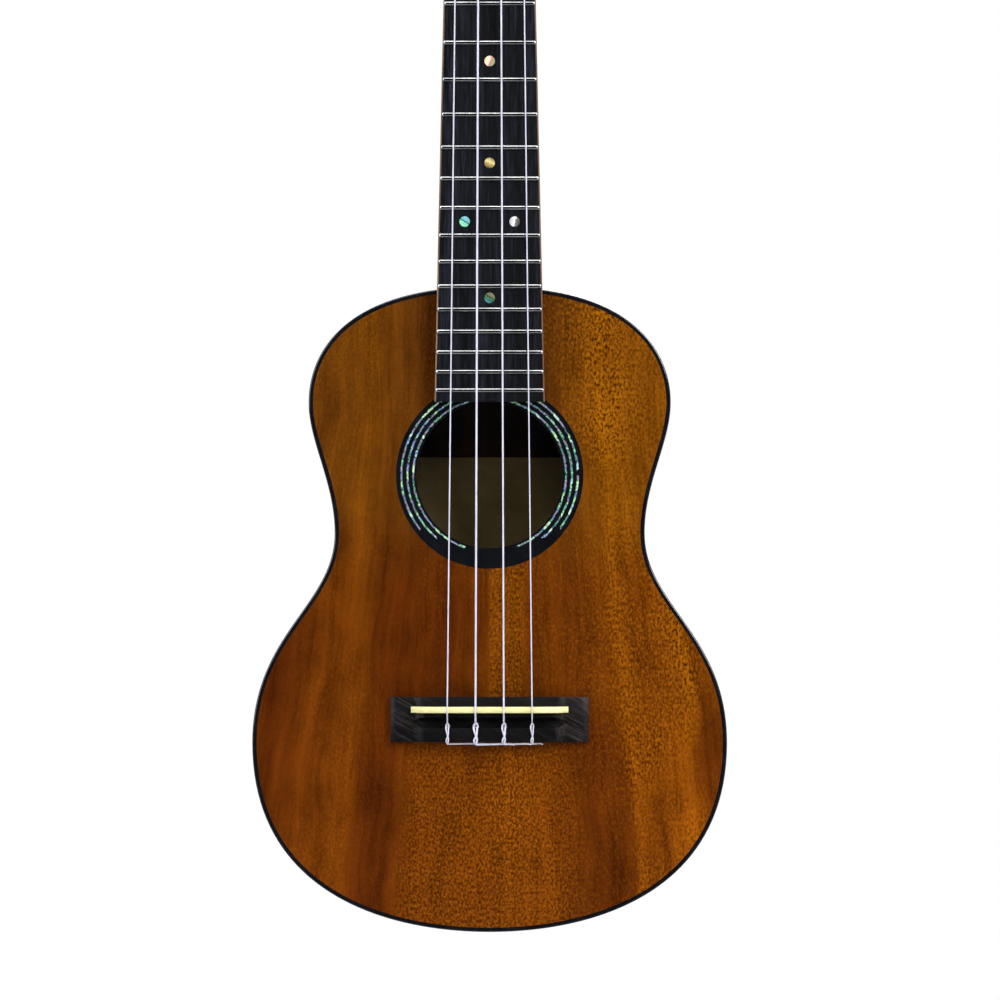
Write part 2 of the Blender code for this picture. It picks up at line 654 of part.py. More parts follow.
def make_shaft(name, hand, look, parent):
    """The worm and its shaft along +X or -X, as one thread of rings whose radius follows the helix."""
    start, thread_half, end = -6.9 * MM, 4.0 * MM, BUTTON_START + 9 * MM
    steps_round, per_lead = 10, 8
    root, tip = WORM_PITCH_RADIUS - DEDENDUM, WORM_PITCH_RADIUS + ADDENDUM

    def thread_radius(x, angle):
        phase = (x / WORM_LEAD - hand * (angle / math.tau - 0.25) + 0.5) % 1.0
        reach = abs(phase - 0.5)
        share = min(1.0, max(0.0, (0.29 - reach) / 0.16))
        fade = min(1.0, max(0.0, (thread_half - abs(x)) / (0.6 * MM)))
        return root + (tip - root) * share * fade

    rings = []
    count = int(2 * thread_half / WORM_LEAD * per_lead)
    stations = [-thread_half + i * WORM_LEAD / per_lead for i in range(count + 1)]
    plain = [(start, SHAFT_RADIUS), (-thread_half - 0.05 * MM, SHAFT_RADIUS)]
    for x, radius in plain:
        rings.append([(hand * x, a, b) for a, b in circle(radius, steps_round)])
    for x in stations:
        ring = []
        for i in range(steps_round):
            angle = math.tau * i / steps_round
            radius = thread_radius(hand * x, angle)
            ring.append((hand * x, radius * math.cos(angle), radius * math.sin(angle)))
        rings.append(ring)
    for x in (stations[-1] + 0.05 * MM, end):
        rings.append([(hand * x, a, b) for a, b in circle(SHAFT_RADIUS, steps_round)])
    add_object(name, loft(rings), look, parent)


def make_button(name, hand, look, parent):
    """An oval button on a short collar, with a blind bore for the shaft."""
    profile = [(0.0, 2.6), (1.0, 3.2), (2.2, 4.6), (4.5, 7.4), (7.5, 9.0)]
    profile += [(10.5, 8.8), (13.0, 7.0), (14.3, 4.4), (14.8, 2.0)]
    flat = 0.46  # the button is an oval about half as thick as it is wide
    rings = []
    for along, radius in profile:
        x = hand * (BUTTON_START + along * MM)
        thick = max(2.6, radius * flat) if along < 10 else radius * flat
        rings.append([(x, a * thick * MM, b * radius * MM) for a, b in circle(1.0, 16)])
    button = add_object(name, loft(rings), look, parent)
    reach = sorted((hand * (BUTTON_START - MM), hand * (BUTTON_START + 9.4 * MM)))
    bore = rod(f"cut_{name}_bore", SHAFT_RADIUS + 0.3 * MM, *reach, "X", 12, parent=parent)
    combine(button, bore)


def make_housing(name, hand, look, parent):
    """The base plate with two ears for the shaft, and the bushing that lines the post's hole."""
    front = HEAD_THICKNESS + GAP
    low, high = -SHAFT_BELOW_POST - 6 * MM, 8 * MM
    left, right = sorted((-8.5 * hand * MM, 10 * hand * MM))
    base = [(left, low + MM), (left + MM, low), (right - MM, low), (right, low + MM)]
    base += [(right, high - 3 * MM), (right - 3 * MM, high), (left + 3 * MM, high), (left, high - 3 * MM)]
    item = add_object(name, plate(base, [], front, PLATE_BACK), look, parent)
    for ear, place in (("inner", -5.65 * MM), ("outer", 5.65 * MM)):
        x = hand * place
        half = 0.7 * MM
        wide, foot = 3.2 * MM, PLATE_BACK - 0.5 * MM
        arch = [(-wide, foot), (wide, foot)]
        arch += [(z, SHAFT_DEPTH + y) for z, y in circle(wide - 0.1 * MM, 16)[:9]]
        rings = [[(x + side, y, z - SHAFT_BELOW_POST) for z, y in arch] for side in (-half, half)]
        combine(item, add_object(f"add_{name}_{ear}", loft(rings), look, parent), "UNION")
    sleeve = [(4.0 * MM, PLATE_BACK - 0.3 * MM), (4.0 * MM, -GAP - VENEER - 0.15 * MM)]
    sleeve += [(5.4 * MM, -GAP - VENEER - 0.15 * MM), (5.4 * MM, -2.5 * MM), (4.6 * MM, -3.0 * MM)]
    combine(item, add_object(f"add_{name}_bushing", turned(sleeve, 20), look, parent), "UNION")
    combine(item, rod(f"cut_{name}_post", POST_RADIUS + 0.15 * MM, -6 * MM, 20 * MM, "Y", 20, parent=parent))
    place = (0, SHAFT_DEPTH, -SHAFT_BELOW_POST)
    combine(item, rod(f"cut_{name}_shaft", SHAFT_RADIUS + GAP, -12 * MM, 12 * MM, "X", 12, place, parent))


def make_tuners(looks, head):
    for number, (x, z) in enumerate(post_places(), 1):
        hand = 1 if x > 0 else -1
        seat = add_empty(f"tuner_{number}_post_axis", head, (x, 0, z))
        axle = add_empty(f"tuner_{number}_shaft_axis", seat, (0, SHAFT_DEPTH, -SHAFT_BELOW_POST))
        make_housing(f"tuner_{number}_housing", hand, looks["nickel"], seat)
        make_post(f"tuner_{number}_post", hand, looks["nickel"], seat)
        make_shaft(f"tuner_{number}_worm", hand, looks["nickel"], axle)
        make_button(f"tuner_{number}_button", hand, looks["pearl"], axle)


# ---- strings ----------------------------------------------------------------------------------------


def string_ends():
    """Each string's x at the nut and at the saddle, bass to treble."""
    places = [i - 1.5 for i in range(4)]
    return [(place * NUT_SPACING, place * SADDLE_SPACING) for place in places]


def string_route(number):
    """From the turns round the post, over the nut and saddle, through the tie block and back over it."""
    x_nut, x_saddle = string_ends()[number]
    x_post, z_post = post_places()[number]
    radius = STRING_DIAMETERS[number] / 2
    hand = 1 if x_post > 0 else -1
    coil = POST_RADIUS + radius + 0.15 * MM
    turns, steps = 2.75, 12
    first_level = -5.0 * MM
    pitch = 2 * radius + 0.12 * MM
    route = []
    count = int(turns * steps)
    for i in range(count, -1, -1):
        # The string meets the post on its inner side, heading away from the nut.
        angle = math.tau * i / steps
        x = x_post - hand * coil * math.cos(angle)
        z = z_post + coil * math.sin(angle)
        route.append(head_point(x, first_level - pitch * i / steps, z))
    last = route[-1]
    rest = Vector((x_nut, STRING_DEPTH_AT_NUT + NUT_FALL, NUT_LENGTH))
    route.append(last.lerp(rest, 0.5))
    route.append(rest)
    crest = -SADDLE_CREST - radius - 0.12 * MM
    saddle = Vector((x_saddle, crest, SADDLE_Z - 0.3 * MM))
    nut_edge = Vector((x_nut, STRING_DEPTH_AT_NUT, 0))
    route += [nut_edge.lerp(saddle, share) for share in (0.25, 0.5, 0.75, 1.0)]
    rear = BRIDGE_TOP - BRIDGE_LENGTH
    hole = -TIE_HOLE_HEIGHT
    block_top = -BRIDGE_HEIGHT - radius - 0.2 * MM
    back = rear - radius - 0.35 * MM
    side = 2 * radius + 0.25 * MM
    tail = [(0, crest + 0.25 * MM, SADDLE_Z - 1.0 * MM), (0, hole - 0.5 * MM, CHANNEL[1] + 0.9 * MM)]
    tail += [(0, hole, CHANNEL[1] - 0.3 * MM), (0, hole, rear + 0.2 * MM)]
    tail += [(0.1 * side, hole - 0.5 * MM, back)]
    tail += [(0.5 * side, block_top + 1.2 * MM, back), (0.8 * side, block_top, rear + 0.8 * MM)]
    tail += [(side, block_top, CHANNEL[1] - 0.6 * MM), (side, block_top + 0.2 * MM, CHANNEL[1] + 0.6 * MM)]
    route += [Vector((x_saddle + x, y, z)) for x, y, z in tail]
    return route


def make_strings(look):
    for number, diameter in enumerate(STRING_DIAMETERS):
        curve = bpy.data.curves.new(f"string_{number + 1}", "CURVE")
        curve.dimensions = "3D"
        curve.bevel_depth = diameter / 2
        curve.bevel_resolution = 1
        curve.use_fill_caps = True
        route = string_route(number)
        spline = curve.splines.new("POLY")
        spline.points.add(len(route) - 1)
        for point, place in zip(spline.points, route):
            point.co = (*place, 1.0)
        spline.use_smooth = True
        item = bpy.data.objects.new(f"string_{number + 1}", curve)
        item.data.materials.append(look)
        bpy.context.scene.collection.objects.link(item)


# ---- assembly ---------------------------------------------------------------------------------------


def make_looks():
    return {
        "koa": make_look("koa", (0.17, 0.05, 0.01), 0.3),
        "mahogany": make_look("mahogany", (0.13, 0.05, 0.02), 0.35),
        "spruce": make_look("spruce", (0.55, 0.4, 0.22), 0.6),
        "ebony": make_look("ebony", (0.012, 0.012, 0.014), 0.4),
        "binding": make_look("binding", (0.004, 0.004, 0.006), 0.1),
        "bone": make_look("bone", (0.8, 0.76, 0.42), 0.35),
        "nickel": make_look("nickel", (0.75, 0.74, 0.71), 0.2, 1.0),
        "pearl": make_look("pearl", (0.8, 0.78, 0.72), 0.25),
        "nylon": make_look("nylon", (0.85, 0.85, 0.88), 0.2),
    }


def build():
    clear_scene()
    looks = make_looks()
    make_soundboard(looks["koa"])
    make_rosette(looks["binding"])
    make_back(looks["koa"])
    make_bindings(looks["binding"])
    make_side("side_bass", -1, looks["koa"])
    make_side("side_treble", 1, looks["koa"])
    make_neck_block(looks["mahogany"])
    make_block("tail_block", False, TAIL_BLOCK_LENGTH, looks["mahogany"])
    make_braces(looks["spruce"])
    head = add_empty("head_frame", location=HEAD_ORIGIN, rotation=(-HEAD_ANGLE, 0, 0))
    make_neck(looks["mahogany"], head)
    make_headplate(looks["ebony"], head)
    make_fingerboard(looks["ebony"])
    make_frets(looks["nickel"])
    make_nut(looks["bone"])
    make_bridge(looks["ebony"])
    make_saddle(looks["bone"])
    make_tuners(looks, head)
    make_strings(looks["nylon"])


build()
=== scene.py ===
"""Looks of the tenor ukulele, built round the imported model, in metres and in its frame.

+Z runs up the neck, the front faces -Y, and the origin is the middle of the nut's front edge.
"""

import math
import random

import bmesh
import bpy
from mathutils import Matrix, Vector


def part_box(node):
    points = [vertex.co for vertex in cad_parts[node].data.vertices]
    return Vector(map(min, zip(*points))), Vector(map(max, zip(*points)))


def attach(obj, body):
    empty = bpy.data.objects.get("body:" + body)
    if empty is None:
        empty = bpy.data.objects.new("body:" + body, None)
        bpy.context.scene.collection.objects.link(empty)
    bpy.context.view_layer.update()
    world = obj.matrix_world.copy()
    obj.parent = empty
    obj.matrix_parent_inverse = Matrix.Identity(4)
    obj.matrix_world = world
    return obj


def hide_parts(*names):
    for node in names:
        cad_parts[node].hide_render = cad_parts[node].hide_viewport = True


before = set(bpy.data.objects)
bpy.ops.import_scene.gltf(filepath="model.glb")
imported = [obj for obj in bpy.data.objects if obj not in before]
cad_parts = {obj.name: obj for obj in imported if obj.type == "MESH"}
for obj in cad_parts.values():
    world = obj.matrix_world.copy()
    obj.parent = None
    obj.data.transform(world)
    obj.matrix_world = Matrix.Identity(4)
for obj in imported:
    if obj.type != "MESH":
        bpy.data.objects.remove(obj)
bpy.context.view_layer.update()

MM = 0.001
HAIR = 0.02 * MM  # the smallest gap or overlap between finished pieces
BODY = "instrument"

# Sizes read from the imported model
BODY_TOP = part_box("binding_top")[1].z
BODY_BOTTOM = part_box("binding_top")[0].z
BACK_AT_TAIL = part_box("binding_back")[1].y
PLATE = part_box("soundboard")[1].y
ROSETTE_LOW, ROSETTE_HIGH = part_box("rosette")
HOLE_CENTRE = (ROSETTE_LOW.z + ROSETTE_HIGH.z) / 2
ROSETTE_RADIUS = (ROSETTE_HIGH.x - ROSETTE_LOW.x) / 2
BOARD_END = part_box("fingerboard")[0].z
BOARD_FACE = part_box("fingerboard")[0].y
BRIDGE_LOW, BRIDGE_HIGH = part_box("bridge")
SADDLE_LOW, SADDLE_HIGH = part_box("saddle")
SADDLE_Z = (SADDLE_LOW.z + SADDLE_HIGH.z) / 2
SADDLE_HALF = (SADDLE_HIGH.z - SADDLE_LOW.z) / 2
NUT_LOW, NUT_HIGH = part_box("nut")

# Body
HOLE_RADIUS = 34.0 * MM
BINDING_WIDTH = 2.0 * MM
BINDING_DEPTH = 5.0 * MM
UPPER_BOUT = (84.1 * MM, -293.5 * MM)
WAIST = (72.0 * MM, -353.9 * MM)
LOWER_BOUT = (110.3 * MM, -451.5 * MM)
DEPTH_AT_HEEL = 64.0 * MM
BACK_SLOPE = (BACK_AT_TAIL - DEPTH_AT_HEEL) / (BODY_TOP - BODY_BOTTOM)
INNER_FACE = PLATE + 0.05 * MM  # from a plate's outer face to what is glued inside it
LABEL_TOP = -318.4 * MM

# Neck, strings and frets
SCALE_LENGTH = 431.8 * MM
FRET_COUNT = 19
NUT_WIDTH = NUT_HIGH.x - NUT_LOW.x
NUT_LENGTH = 5.0 * MM
BOARD_TAPER = 0.0451
NUT_SPACING = 9.94 * MM
SADDLE_SPACING = 13.1 * MM
STRING_DIAMETERS = [0.66 * MM, 0.94 * MM, 0.81 * MM, 0.61 * MM]
STRING_AT_NUT = -6.9 * MM
# x at the nut and at the saddle, bass to treble
STRING_ENDS = [(place * NUT_SPACING, place * SADDLE_SPACING) for place in (-1.5, -0.5, 0.5, 1.5)]
HEAD_ANGLE = math.radians(13.0)
HEAD_LENGTH = 138.0 * MM
HEAD_THICKNESS = 12.0 * MM
TO_HEAD = Matrix.Translation((0, 0, NUT_LENGTH)) @ Matrix.Rotation(-HEAD_ANGLE, 4, "X")

# Bridge
BRIDGE_CENTRE = 30.5 * MM  # half width of its raised middle
CHANNEL = (-439.4 * MM, -444.1 * MM)
TIE_HOLE = -4.2 * MM
TAIL_LENGTHS = [20 * MM, 18 * MM, 13 * MM, 5 * MM]

# Tuning machines, in the headstock's frame
# the posts' (x, z): bass low, bass high, treble high, treble low
POST_PLACES = [(-17 * MM, 60 * MM), (-17 * MM, 100 * MM), (17 * MM, 100 * MM), (17 * MM, 60 * MM)]
POST_RADIUS = 2.9 * MM
GEAR_TEETH = 14
GEAR_RADIUS = GEAR_TEETH * 0.85 * MM / 2
WORM_LEAD = math.pi * 0.85 * MM
WORM_RADIUS = 2.5 * MM
ADDENDUM = 0.6 * MM
DEDENDUM = 0.8 * MM
PLATE_BACK = HEAD_THICKNESS + 1.2 * MM
GEAR_FRONT, GEAR_REAR = PLATE_BACK + 2 * MM, PLATE_BACK + 5 * MM
SHAFT_DEPTH = PLATE_BACK + 3.5 * MM
SHAFT_RADIUS = 1.5 * MM
SHAFT_BELOW_POST = GEAR_RADIUS + WORM_RADIUS
BUTTON_START = 17.6 * MM

# The set
VIEW_DISTANCE = 3.0
VIEW_WIDTH = 464.5 * MM
VIEW_CENTRE = (4.8 * MM, -338.6 * MM)
FLOOR_Z = -0.75
ROOM_LIGHT = 0.5
DIM_LIGHT = 0.02
TARGET = (0, 0.03, -0.33)
WHITE, COOL, WARM = (1, 1, 1), (0.93, 0.97, 1.0), (1.0, 0.97, 0.9)
# name, place, size, watts, colour, whether its mirror image shows
LIGHTS = [
    ("key", (1.7, -1.5, 0.9), (1.0, 1.4), 59, WHITE, True),
    ("fill", (-1.9, -1.2, 0.4), (1.2, 1.6), 29, COOL, True),
    ("through_the_hole", (0.1, -2.4, 0.62), (0.6, 1.1), 14, WARM, False),
    ("above", (-0.2, -0.7, 1.5), (1.2, 0.6), 12, WHITE, True),
    ("rear", (0.6, 2.0, 0.8), (1.4, 1.4), 36, WHITE, True),
]

# Colours are screen values from 0 to 255.
SHELL_BANDS = [
    (0.0, (10, 14, 20)), (0.1, (60, 100, 120)), (0.22, (110, 204, 170)), (0.34, (190, 240, 140)),
    (0.46, (250, 252, 240)), (0.58, (150, 220, 204)), (0.7, (80, 120, 214)), (0.8, (56, 62, 96)),
    (0.9, (214, 204, 224)), (1.0, (30, 34, 44)),
]
# Koa's bands across the plate at three heights: the darkest and brightest wood, then each band's
# distance from the centre seam in millimetres and its tone, from darkest (0) to brightest (1)
KOA_UPPER = ((83, 43, 9), (148, 86, 8), [
    (-76, 0.35), (-60, 0.42), (-53, 0.6), (-47, 0.38), (-38, 0.25), (-26, 0.0), (0, 0.05),
    (28, 0.25), (38, 0.46), (46, 0.63), (52, 1.0), (57, 0.8), (68, 0.72), (78, 0.8),
])
KOA_MIDDLE = ((90, 38, 3), (142, 78, 6), [
    (-78, 0.0), (-66, 0.33), (-49, 0.46), (-38, 0.04), (-20, 0.04), (-1, 0.33), (0, 0.63), (8, 0.75),
    (17, 0.33), (34, 0.25), (44, 0.38), (51, 0.71), (58, 0.5), (67, 0.62), (74, 1.0), (79, 0.5),
])
KOA_LOWER = ((92, 39, 3), (141, 73, 6), [
    (-76, 0.16), (-62, 0.47), (-51, 0.65), (-46, 0.12), (-36, 0.0), (-31, 0.36), (-15, 0.44), (-1, 0.48),
    (4, 0.66), (22, 0.56), (28, 0.3), (36, 0.14), (46, 0.24), (51, 0.88), (60, 0.84), (70, 1.0), (77, 0.27),
])
KOA_REACH = 80  # millimetres from the seam to the ends of the tables
GOLD = [(0.0, (92, 74, 34)), (0.45, (190, 168, 104)), (0.6, (232, 214, 150)), (1.0, (120, 98, 52))]
ROSE = [(0.0, (226, 206, 160)), (0.4, (246, 226, 206)), (0.62, (190, 130, 112)), (1.0, (140, 190, 130))]
AQUA = [
    (0.44, (136, 220, 180)), (0.5, (10, 34, 32)), (0.54, (14, 44, 44)), (0.6, (104, 178, 194)),
    (1.0, (130, 196, 206)),
]
SILVER = [(0.0, (66, 64, 62)), (0.42, (120, 116, 112)), (0.5, (238, 238, 240)), (1.0, (176, 174, 178))]
FERN = [
    (0.1, (84, 150, 150)), (0.36, (30, 60, 66)), (0.46, (96, 160, 110)), (0.54, (14, 26, 22)),
    (0.66, (104, 120, 80)), (1.0, (130, 120, 96)),
]
# fret, distance from the middle, colours, direction of the bands
DOTS = [
    (5, 0.0, GOLD, 0.9),
    (7, 0.0, ROSE, -0.4),
    (10, 0.0, GOLD, 1.2),
    (12, -11.6 * MM, AQUA, 1.0),
    (12, 11.6 * MM, SILVER, 2.9),
    (15, 0.0, FERN, 1.0),
]


# ---- mesh tools ----


def mm(points):
    """Points given in millimetres."""
    return [tuple(value * MM for value in point) for point in points]


def loft(rings, joined=False, bm=None):
    """Skin a row of matching closed rings; joined makes the last meet the first."""
    bm = bm or bmesh.new()
    rows = [[bm.verts.new(point) for point in ring] for ring in rings]
    pairs = list(zip(rows, rows[1:]))
    if joined:
        pairs.append((rows[-1], rows[0]))
    for near, far in pairs:
        for i in range(len(near)):
            j = (i + 1) % len(near)
            bm.faces.new((near[i], near[j], far[j], far[i]))
    if not joined:
        bm.faces.new(rows[0])
        bm.faces.new(rows[-1])
    return bm


def plate(outer, holes, front, back):
    """A flat piece between two depths, from an outline and hole outlines of (x, z) points."""
    bm = bmesh.new()
    edges = []
    for outline in [outer, *holes]:
        verts = [bm.verts.new((x, front, z)) for x, z in outline]
        edges += [bm.edges.new((verts[i - 1], verts[i])) for i in range(len(verts))]
    bmesh.ops.triangle_fill(bm, edges=edges, use_beauty=True)
    grown = bmesh.ops.extrude_face_region(bm, geom=bm.faces[:])["geom"]
    rear = [part for part in grown if isinstance(part, bmesh.types.BMVert)]
    bmesh.ops.translate(bm, verts=rear, vec=(0, back - front, 0))
    bmesh.ops.dissolve_limit(bm, angle_limit=0.002, verts=bm.verts, edges=bm.edges)
    return bm


def circle(radius, steps, centre=(0, 0)):
    turn = [math.tau * i / steps for i in range(steps)]
    return [(centre[0] + radius * math.cos(a), centre[1] + radius * math.sin(a)) for a in turn]


def hoop(radius, along, steps, axis="Y"):
    """A circle round an axis through the origin, at a place along it."""
    spot = "XYZ".index(axis)
    return [(*point[:spot], along, *point[spot:]) for point in circle(radius, steps)]


def turned(profile, steps, axis="Y", joined=False):
    """Spin a profile of (radius, position) about an axis through the origin."""
    return loft([hoop(radius, along, steps, axis) for radius, along in profile], joined)


def box(low, high, bm=None):
    ring = [(low[0], low[1]), (high[0], low[1]), (high[0], high[1]), (low[0], high[1])]
    return loft([[(x, y, z) for x, y in ring] for z in (low[2], high[2])], bm=bm)


def bezier(start, start_handle, end_handle, end, steps):
    """Points and tangents of a cubic curve, without its last point."""
    found = []
    spans = list(zip(start, start_handle, end_handle, end))
    for i in range(steps):
        t = i / steps
        u = 1 - t
        point = [u**3 * a + 3 * u * u * t * b + 3 * u * t * t * c + t**3 * d for a, b, c, d in spans]
        slope = [u * u * (b - a) + 2 * u * t * (c - b) + t * t * (d - c) for a, b, c, d in spans]
        found.append((Vector(point), Vector(slope)))
    return found


def smooth_line(points, per_span):
    """A Catmull-Rom curve through the points."""
    points = [Vector(p) for p in points]
    ends = [points[0] * 2 - points[1], *points, points[-1] * 2 - points[-2]]
    found = []
    for a, b, c, d in zip(ends, ends[1:], ends[2:], ends[3:]):
        for t in [i / per_span for i in range(per_span)]:
            bend, twist = 2 * a - 5 * b + 4 * c - d, 3 * b - a - 3 * c + d
            found.append(0.5 * (2 * b + (c - a) * t + bend * t * t + twist * t**3))
    return found + [points[-1]]


def smooth_step(value):
    value = min(1.0, max(0.0, value))
    return value * value * (3 - 2 * value)


def between(first, second, share):
    return tuple(a + (b - a) * share for a, b in zip(first, second))


def new_item(name, bm, matrix):
    bmesh.ops.recalc_face_normals(bm, faces=bm.faces)
    mesh = bpy.data.meshes.new(name)
    bm.to_mesh(mesh)
    bm.free()
    if matrix:
        mesh.transform(matrix)
    item = bpy.data.objects.new(name, mesh)
    bpy.context.scene.collection.objects.link(item)
    return item


def shade(mesh, sharp=35):
    mesh.shade_smooth()
    mesh.set_sharp_from_angle(angle=math.radians(sharp))


def show(name, bm, look, body=BODY, replaces=None, sharp=35, bevel=None, matrix=None):
    """Put a finished mesh in the scene as a piece that rides on a body.

    The look is a name in LOOKS, or a material with its slot.
    """
    material, slot = LOOKS[look] if isinstance(look, str) else look
    item = new_item(name, bm, matrix)
    shade(item.data, sharp)
    item.data.materials.append(material)
    if bevel:
        modifier = item.modifiers.new("edges", "BEVEL")
        modifier.width = bevel
        modifier.segments = 3
        modifier.limit_method = "ANGLE"
        modifier.angle_limit = math.radians(32)
        modifier.harden_normals = True
    if body:
        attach(item, body)
    if replaces:
        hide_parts(replaces)
    return item


def cut(item, tool_bm, matrix=None):
    """Take a tool out of a piece for good, before its bevel."""
    tool = new_item("tool", tool_bm, matrix)
    bevels = [modifier for modifier in item.modifiers if modifier.type == "BEVEL"]
    for bevel in bevels:
        bevel.show_viewport = False
    modifier = item.modifiers.new("cut", "BOOLEAN")
    modifier.operation = "DIFFERENCE"
    modifier.solver = "EXACT"
    modifier.object = tool
    depsgraph = bpy.context.evaluated_depsgraph_get()
    made = bpy.data.meshes.new_from_object(item.evaluated_get(depsgraph))
    item.modifiers.remove(modifier)
    item.data = made
    shade(made)
    for bevel in bevels:
        bevel.show_viewport = True
    bpy.data.objects.remove(tool)


# ---- materials ----


def colour(red, green, blue):
    """A screen colour from 0 to 255 as the shader's own linear colour."""
    share = [c / 255 for c in (red, green, blue)]
    return (*[c / 12.92 if c <= 0.04045 else ((c + 0.055) / 1.055) ** 2.4 for c in share], 1.0)


class Signal:
    """One output of a node tree, which can be used in a sum."""

    def __init__(self, nodes, socket):
        self.nodes, self.socket = nodes, socket

    def __add__(self, other):
        return self.nodes.math("ADD", self, other)

    def __sub__(self, other):
        return self.nodes.math("SUBTRACT", self, other)

    def __rsub__(self, other):
        return self.nodes.math("SUBTRACT", other, self)

    def __mul__(self, other):
        return self.nodes.math("MULTIPLY", self, other)

    def __truediv__(self, other):
        return self.nodes.math("DIVIDE", self, other)

    def __abs__(self):
        return self.nodes.math("ABSOLUTE", self)


class Nodes:
    """A node tree whose methods add a node and give its output as a Signal."""

    def __init__(self, tree):
        self.tree = tree

    def node(self, kind, output, inputs=(), **settings):
        made = self.tree.nodes.new(kind)
        for key, value in settings.items():
            setattr(made, key, value)
        for key, value in dict(inputs).items():
            self.feed(made.inputs[key], value)
        return Signal(self, made.outputs[output])

    def feed(self, socket, value):
        if isinstance(value, Signal):
            self.tree.links.new(value.socket, socket)
        else:
            socket.default_value = value

    def math(self, operation, a, b=0.5):
        return self.node("ShaderNodeMath", 0, {0: a, 1: b}, operation=operation)

    def remap(self, value, low, high, to_low=0.0, to_high=1.0, smooth=False):
        kind = "SMOOTHSTEP" if smooth else "LINEAR"
        inputs = {"Value": value, "From Min": low, "From Max": high, "To Min": to_low, "To Max": to_high}
        return self.node("ShaderNodeMapRange", "Result", inputs, interpolation_type=kind)

    def split(self, vector):
        parts = self.node("ShaderNodeSeparateXYZ", 0, {"Vector": vector}).socket.node
        return [Signal(self, socket) for socket in parts.outputs]


class Paint(Nodes):
    """One material's nodes."""

    def __init__(self, name, **settings):
        self.material = bpy.data.materials.new(name)
        self.material.use_nodes = True
        super().__init__(self.material.node_tree)
        for socket, value in settings.items():
            self.to(socket.replace("_", " "), value)

    def to(self, socket, value):
        self.feed(self.tree.nodes["Principled BSDF"].inputs[socket], value)

    def place(self, scale=(1, 1, 1), turn=(0, 0, 0), move=(0, 0, 0)):
        """The point on the object in metres, scaled, turned and moved."""
        point = self.node("ShaderNodeTexCoord", "Object")
        inputs = {"Vector": point, "Scale": scale, "Rotation": turn, "Location": move}
        return self.node("ShaderNodeMapping", "Vector", inputs)

    def noise(self, point, detail, roughness, distortion=0.0, scale=1.0):
        if isinstance(point, tuple):
            point = self.node("ShaderNodeCombineXYZ", "Vector", dict(zip("XYZ", point)))
        inputs = {"Vector": point, "Scale": scale, "Detail": detail}
        inputs.update({"Roughness": roughness, "Distortion": distortion})
        return self.node("ShaderNodeTexNoise", "Fac", inputs)

    def ramp(self, value, stops, kind="LINEAR"):
        found = self.node("ShaderNodeValToRGB", "Color", {"Fac": value})
        color_ramp = found.socket.node.color_ramp
        color_ramp.interpolation = kind
        while len(color_ramp.elements) < len(stops):
            color_ramp.elements.new(0.5)
        for element, stop in zip(color_ramp.elements, stops):
            element.position = stop[0]
        for element, stop in zip(color_ramp.elements, stops):
            element.color = colour(*stop[1])
        return found

    def mix(self, share, a, b, blend="MIX"):
        """Two colours mixed; the node's colour sockets are its seventh and eighth, and its third output."""
        return self.node("ShaderNodeMix", 2, {0: share, 6: a, 7: b}, data_type="RGBA", blend_type=blend)

    def finish(self, base, wear, roughness, height=None, distance=0.0, strength=0.0, span=(0.3, 0.7)):
        """Wire the shader: its roughness goes from low to high as the wear crosses its span."""
        self.to("Base Color", base)
        self.to("Roughness", self.remap(wear, *span, *roughness))
        if height:
            inputs = {"Height": height, "Distance": distance, "Strength": strength}
            self.to("Normal", self.node("ShaderNodeBump", "Normal", inputs))
        return self.material


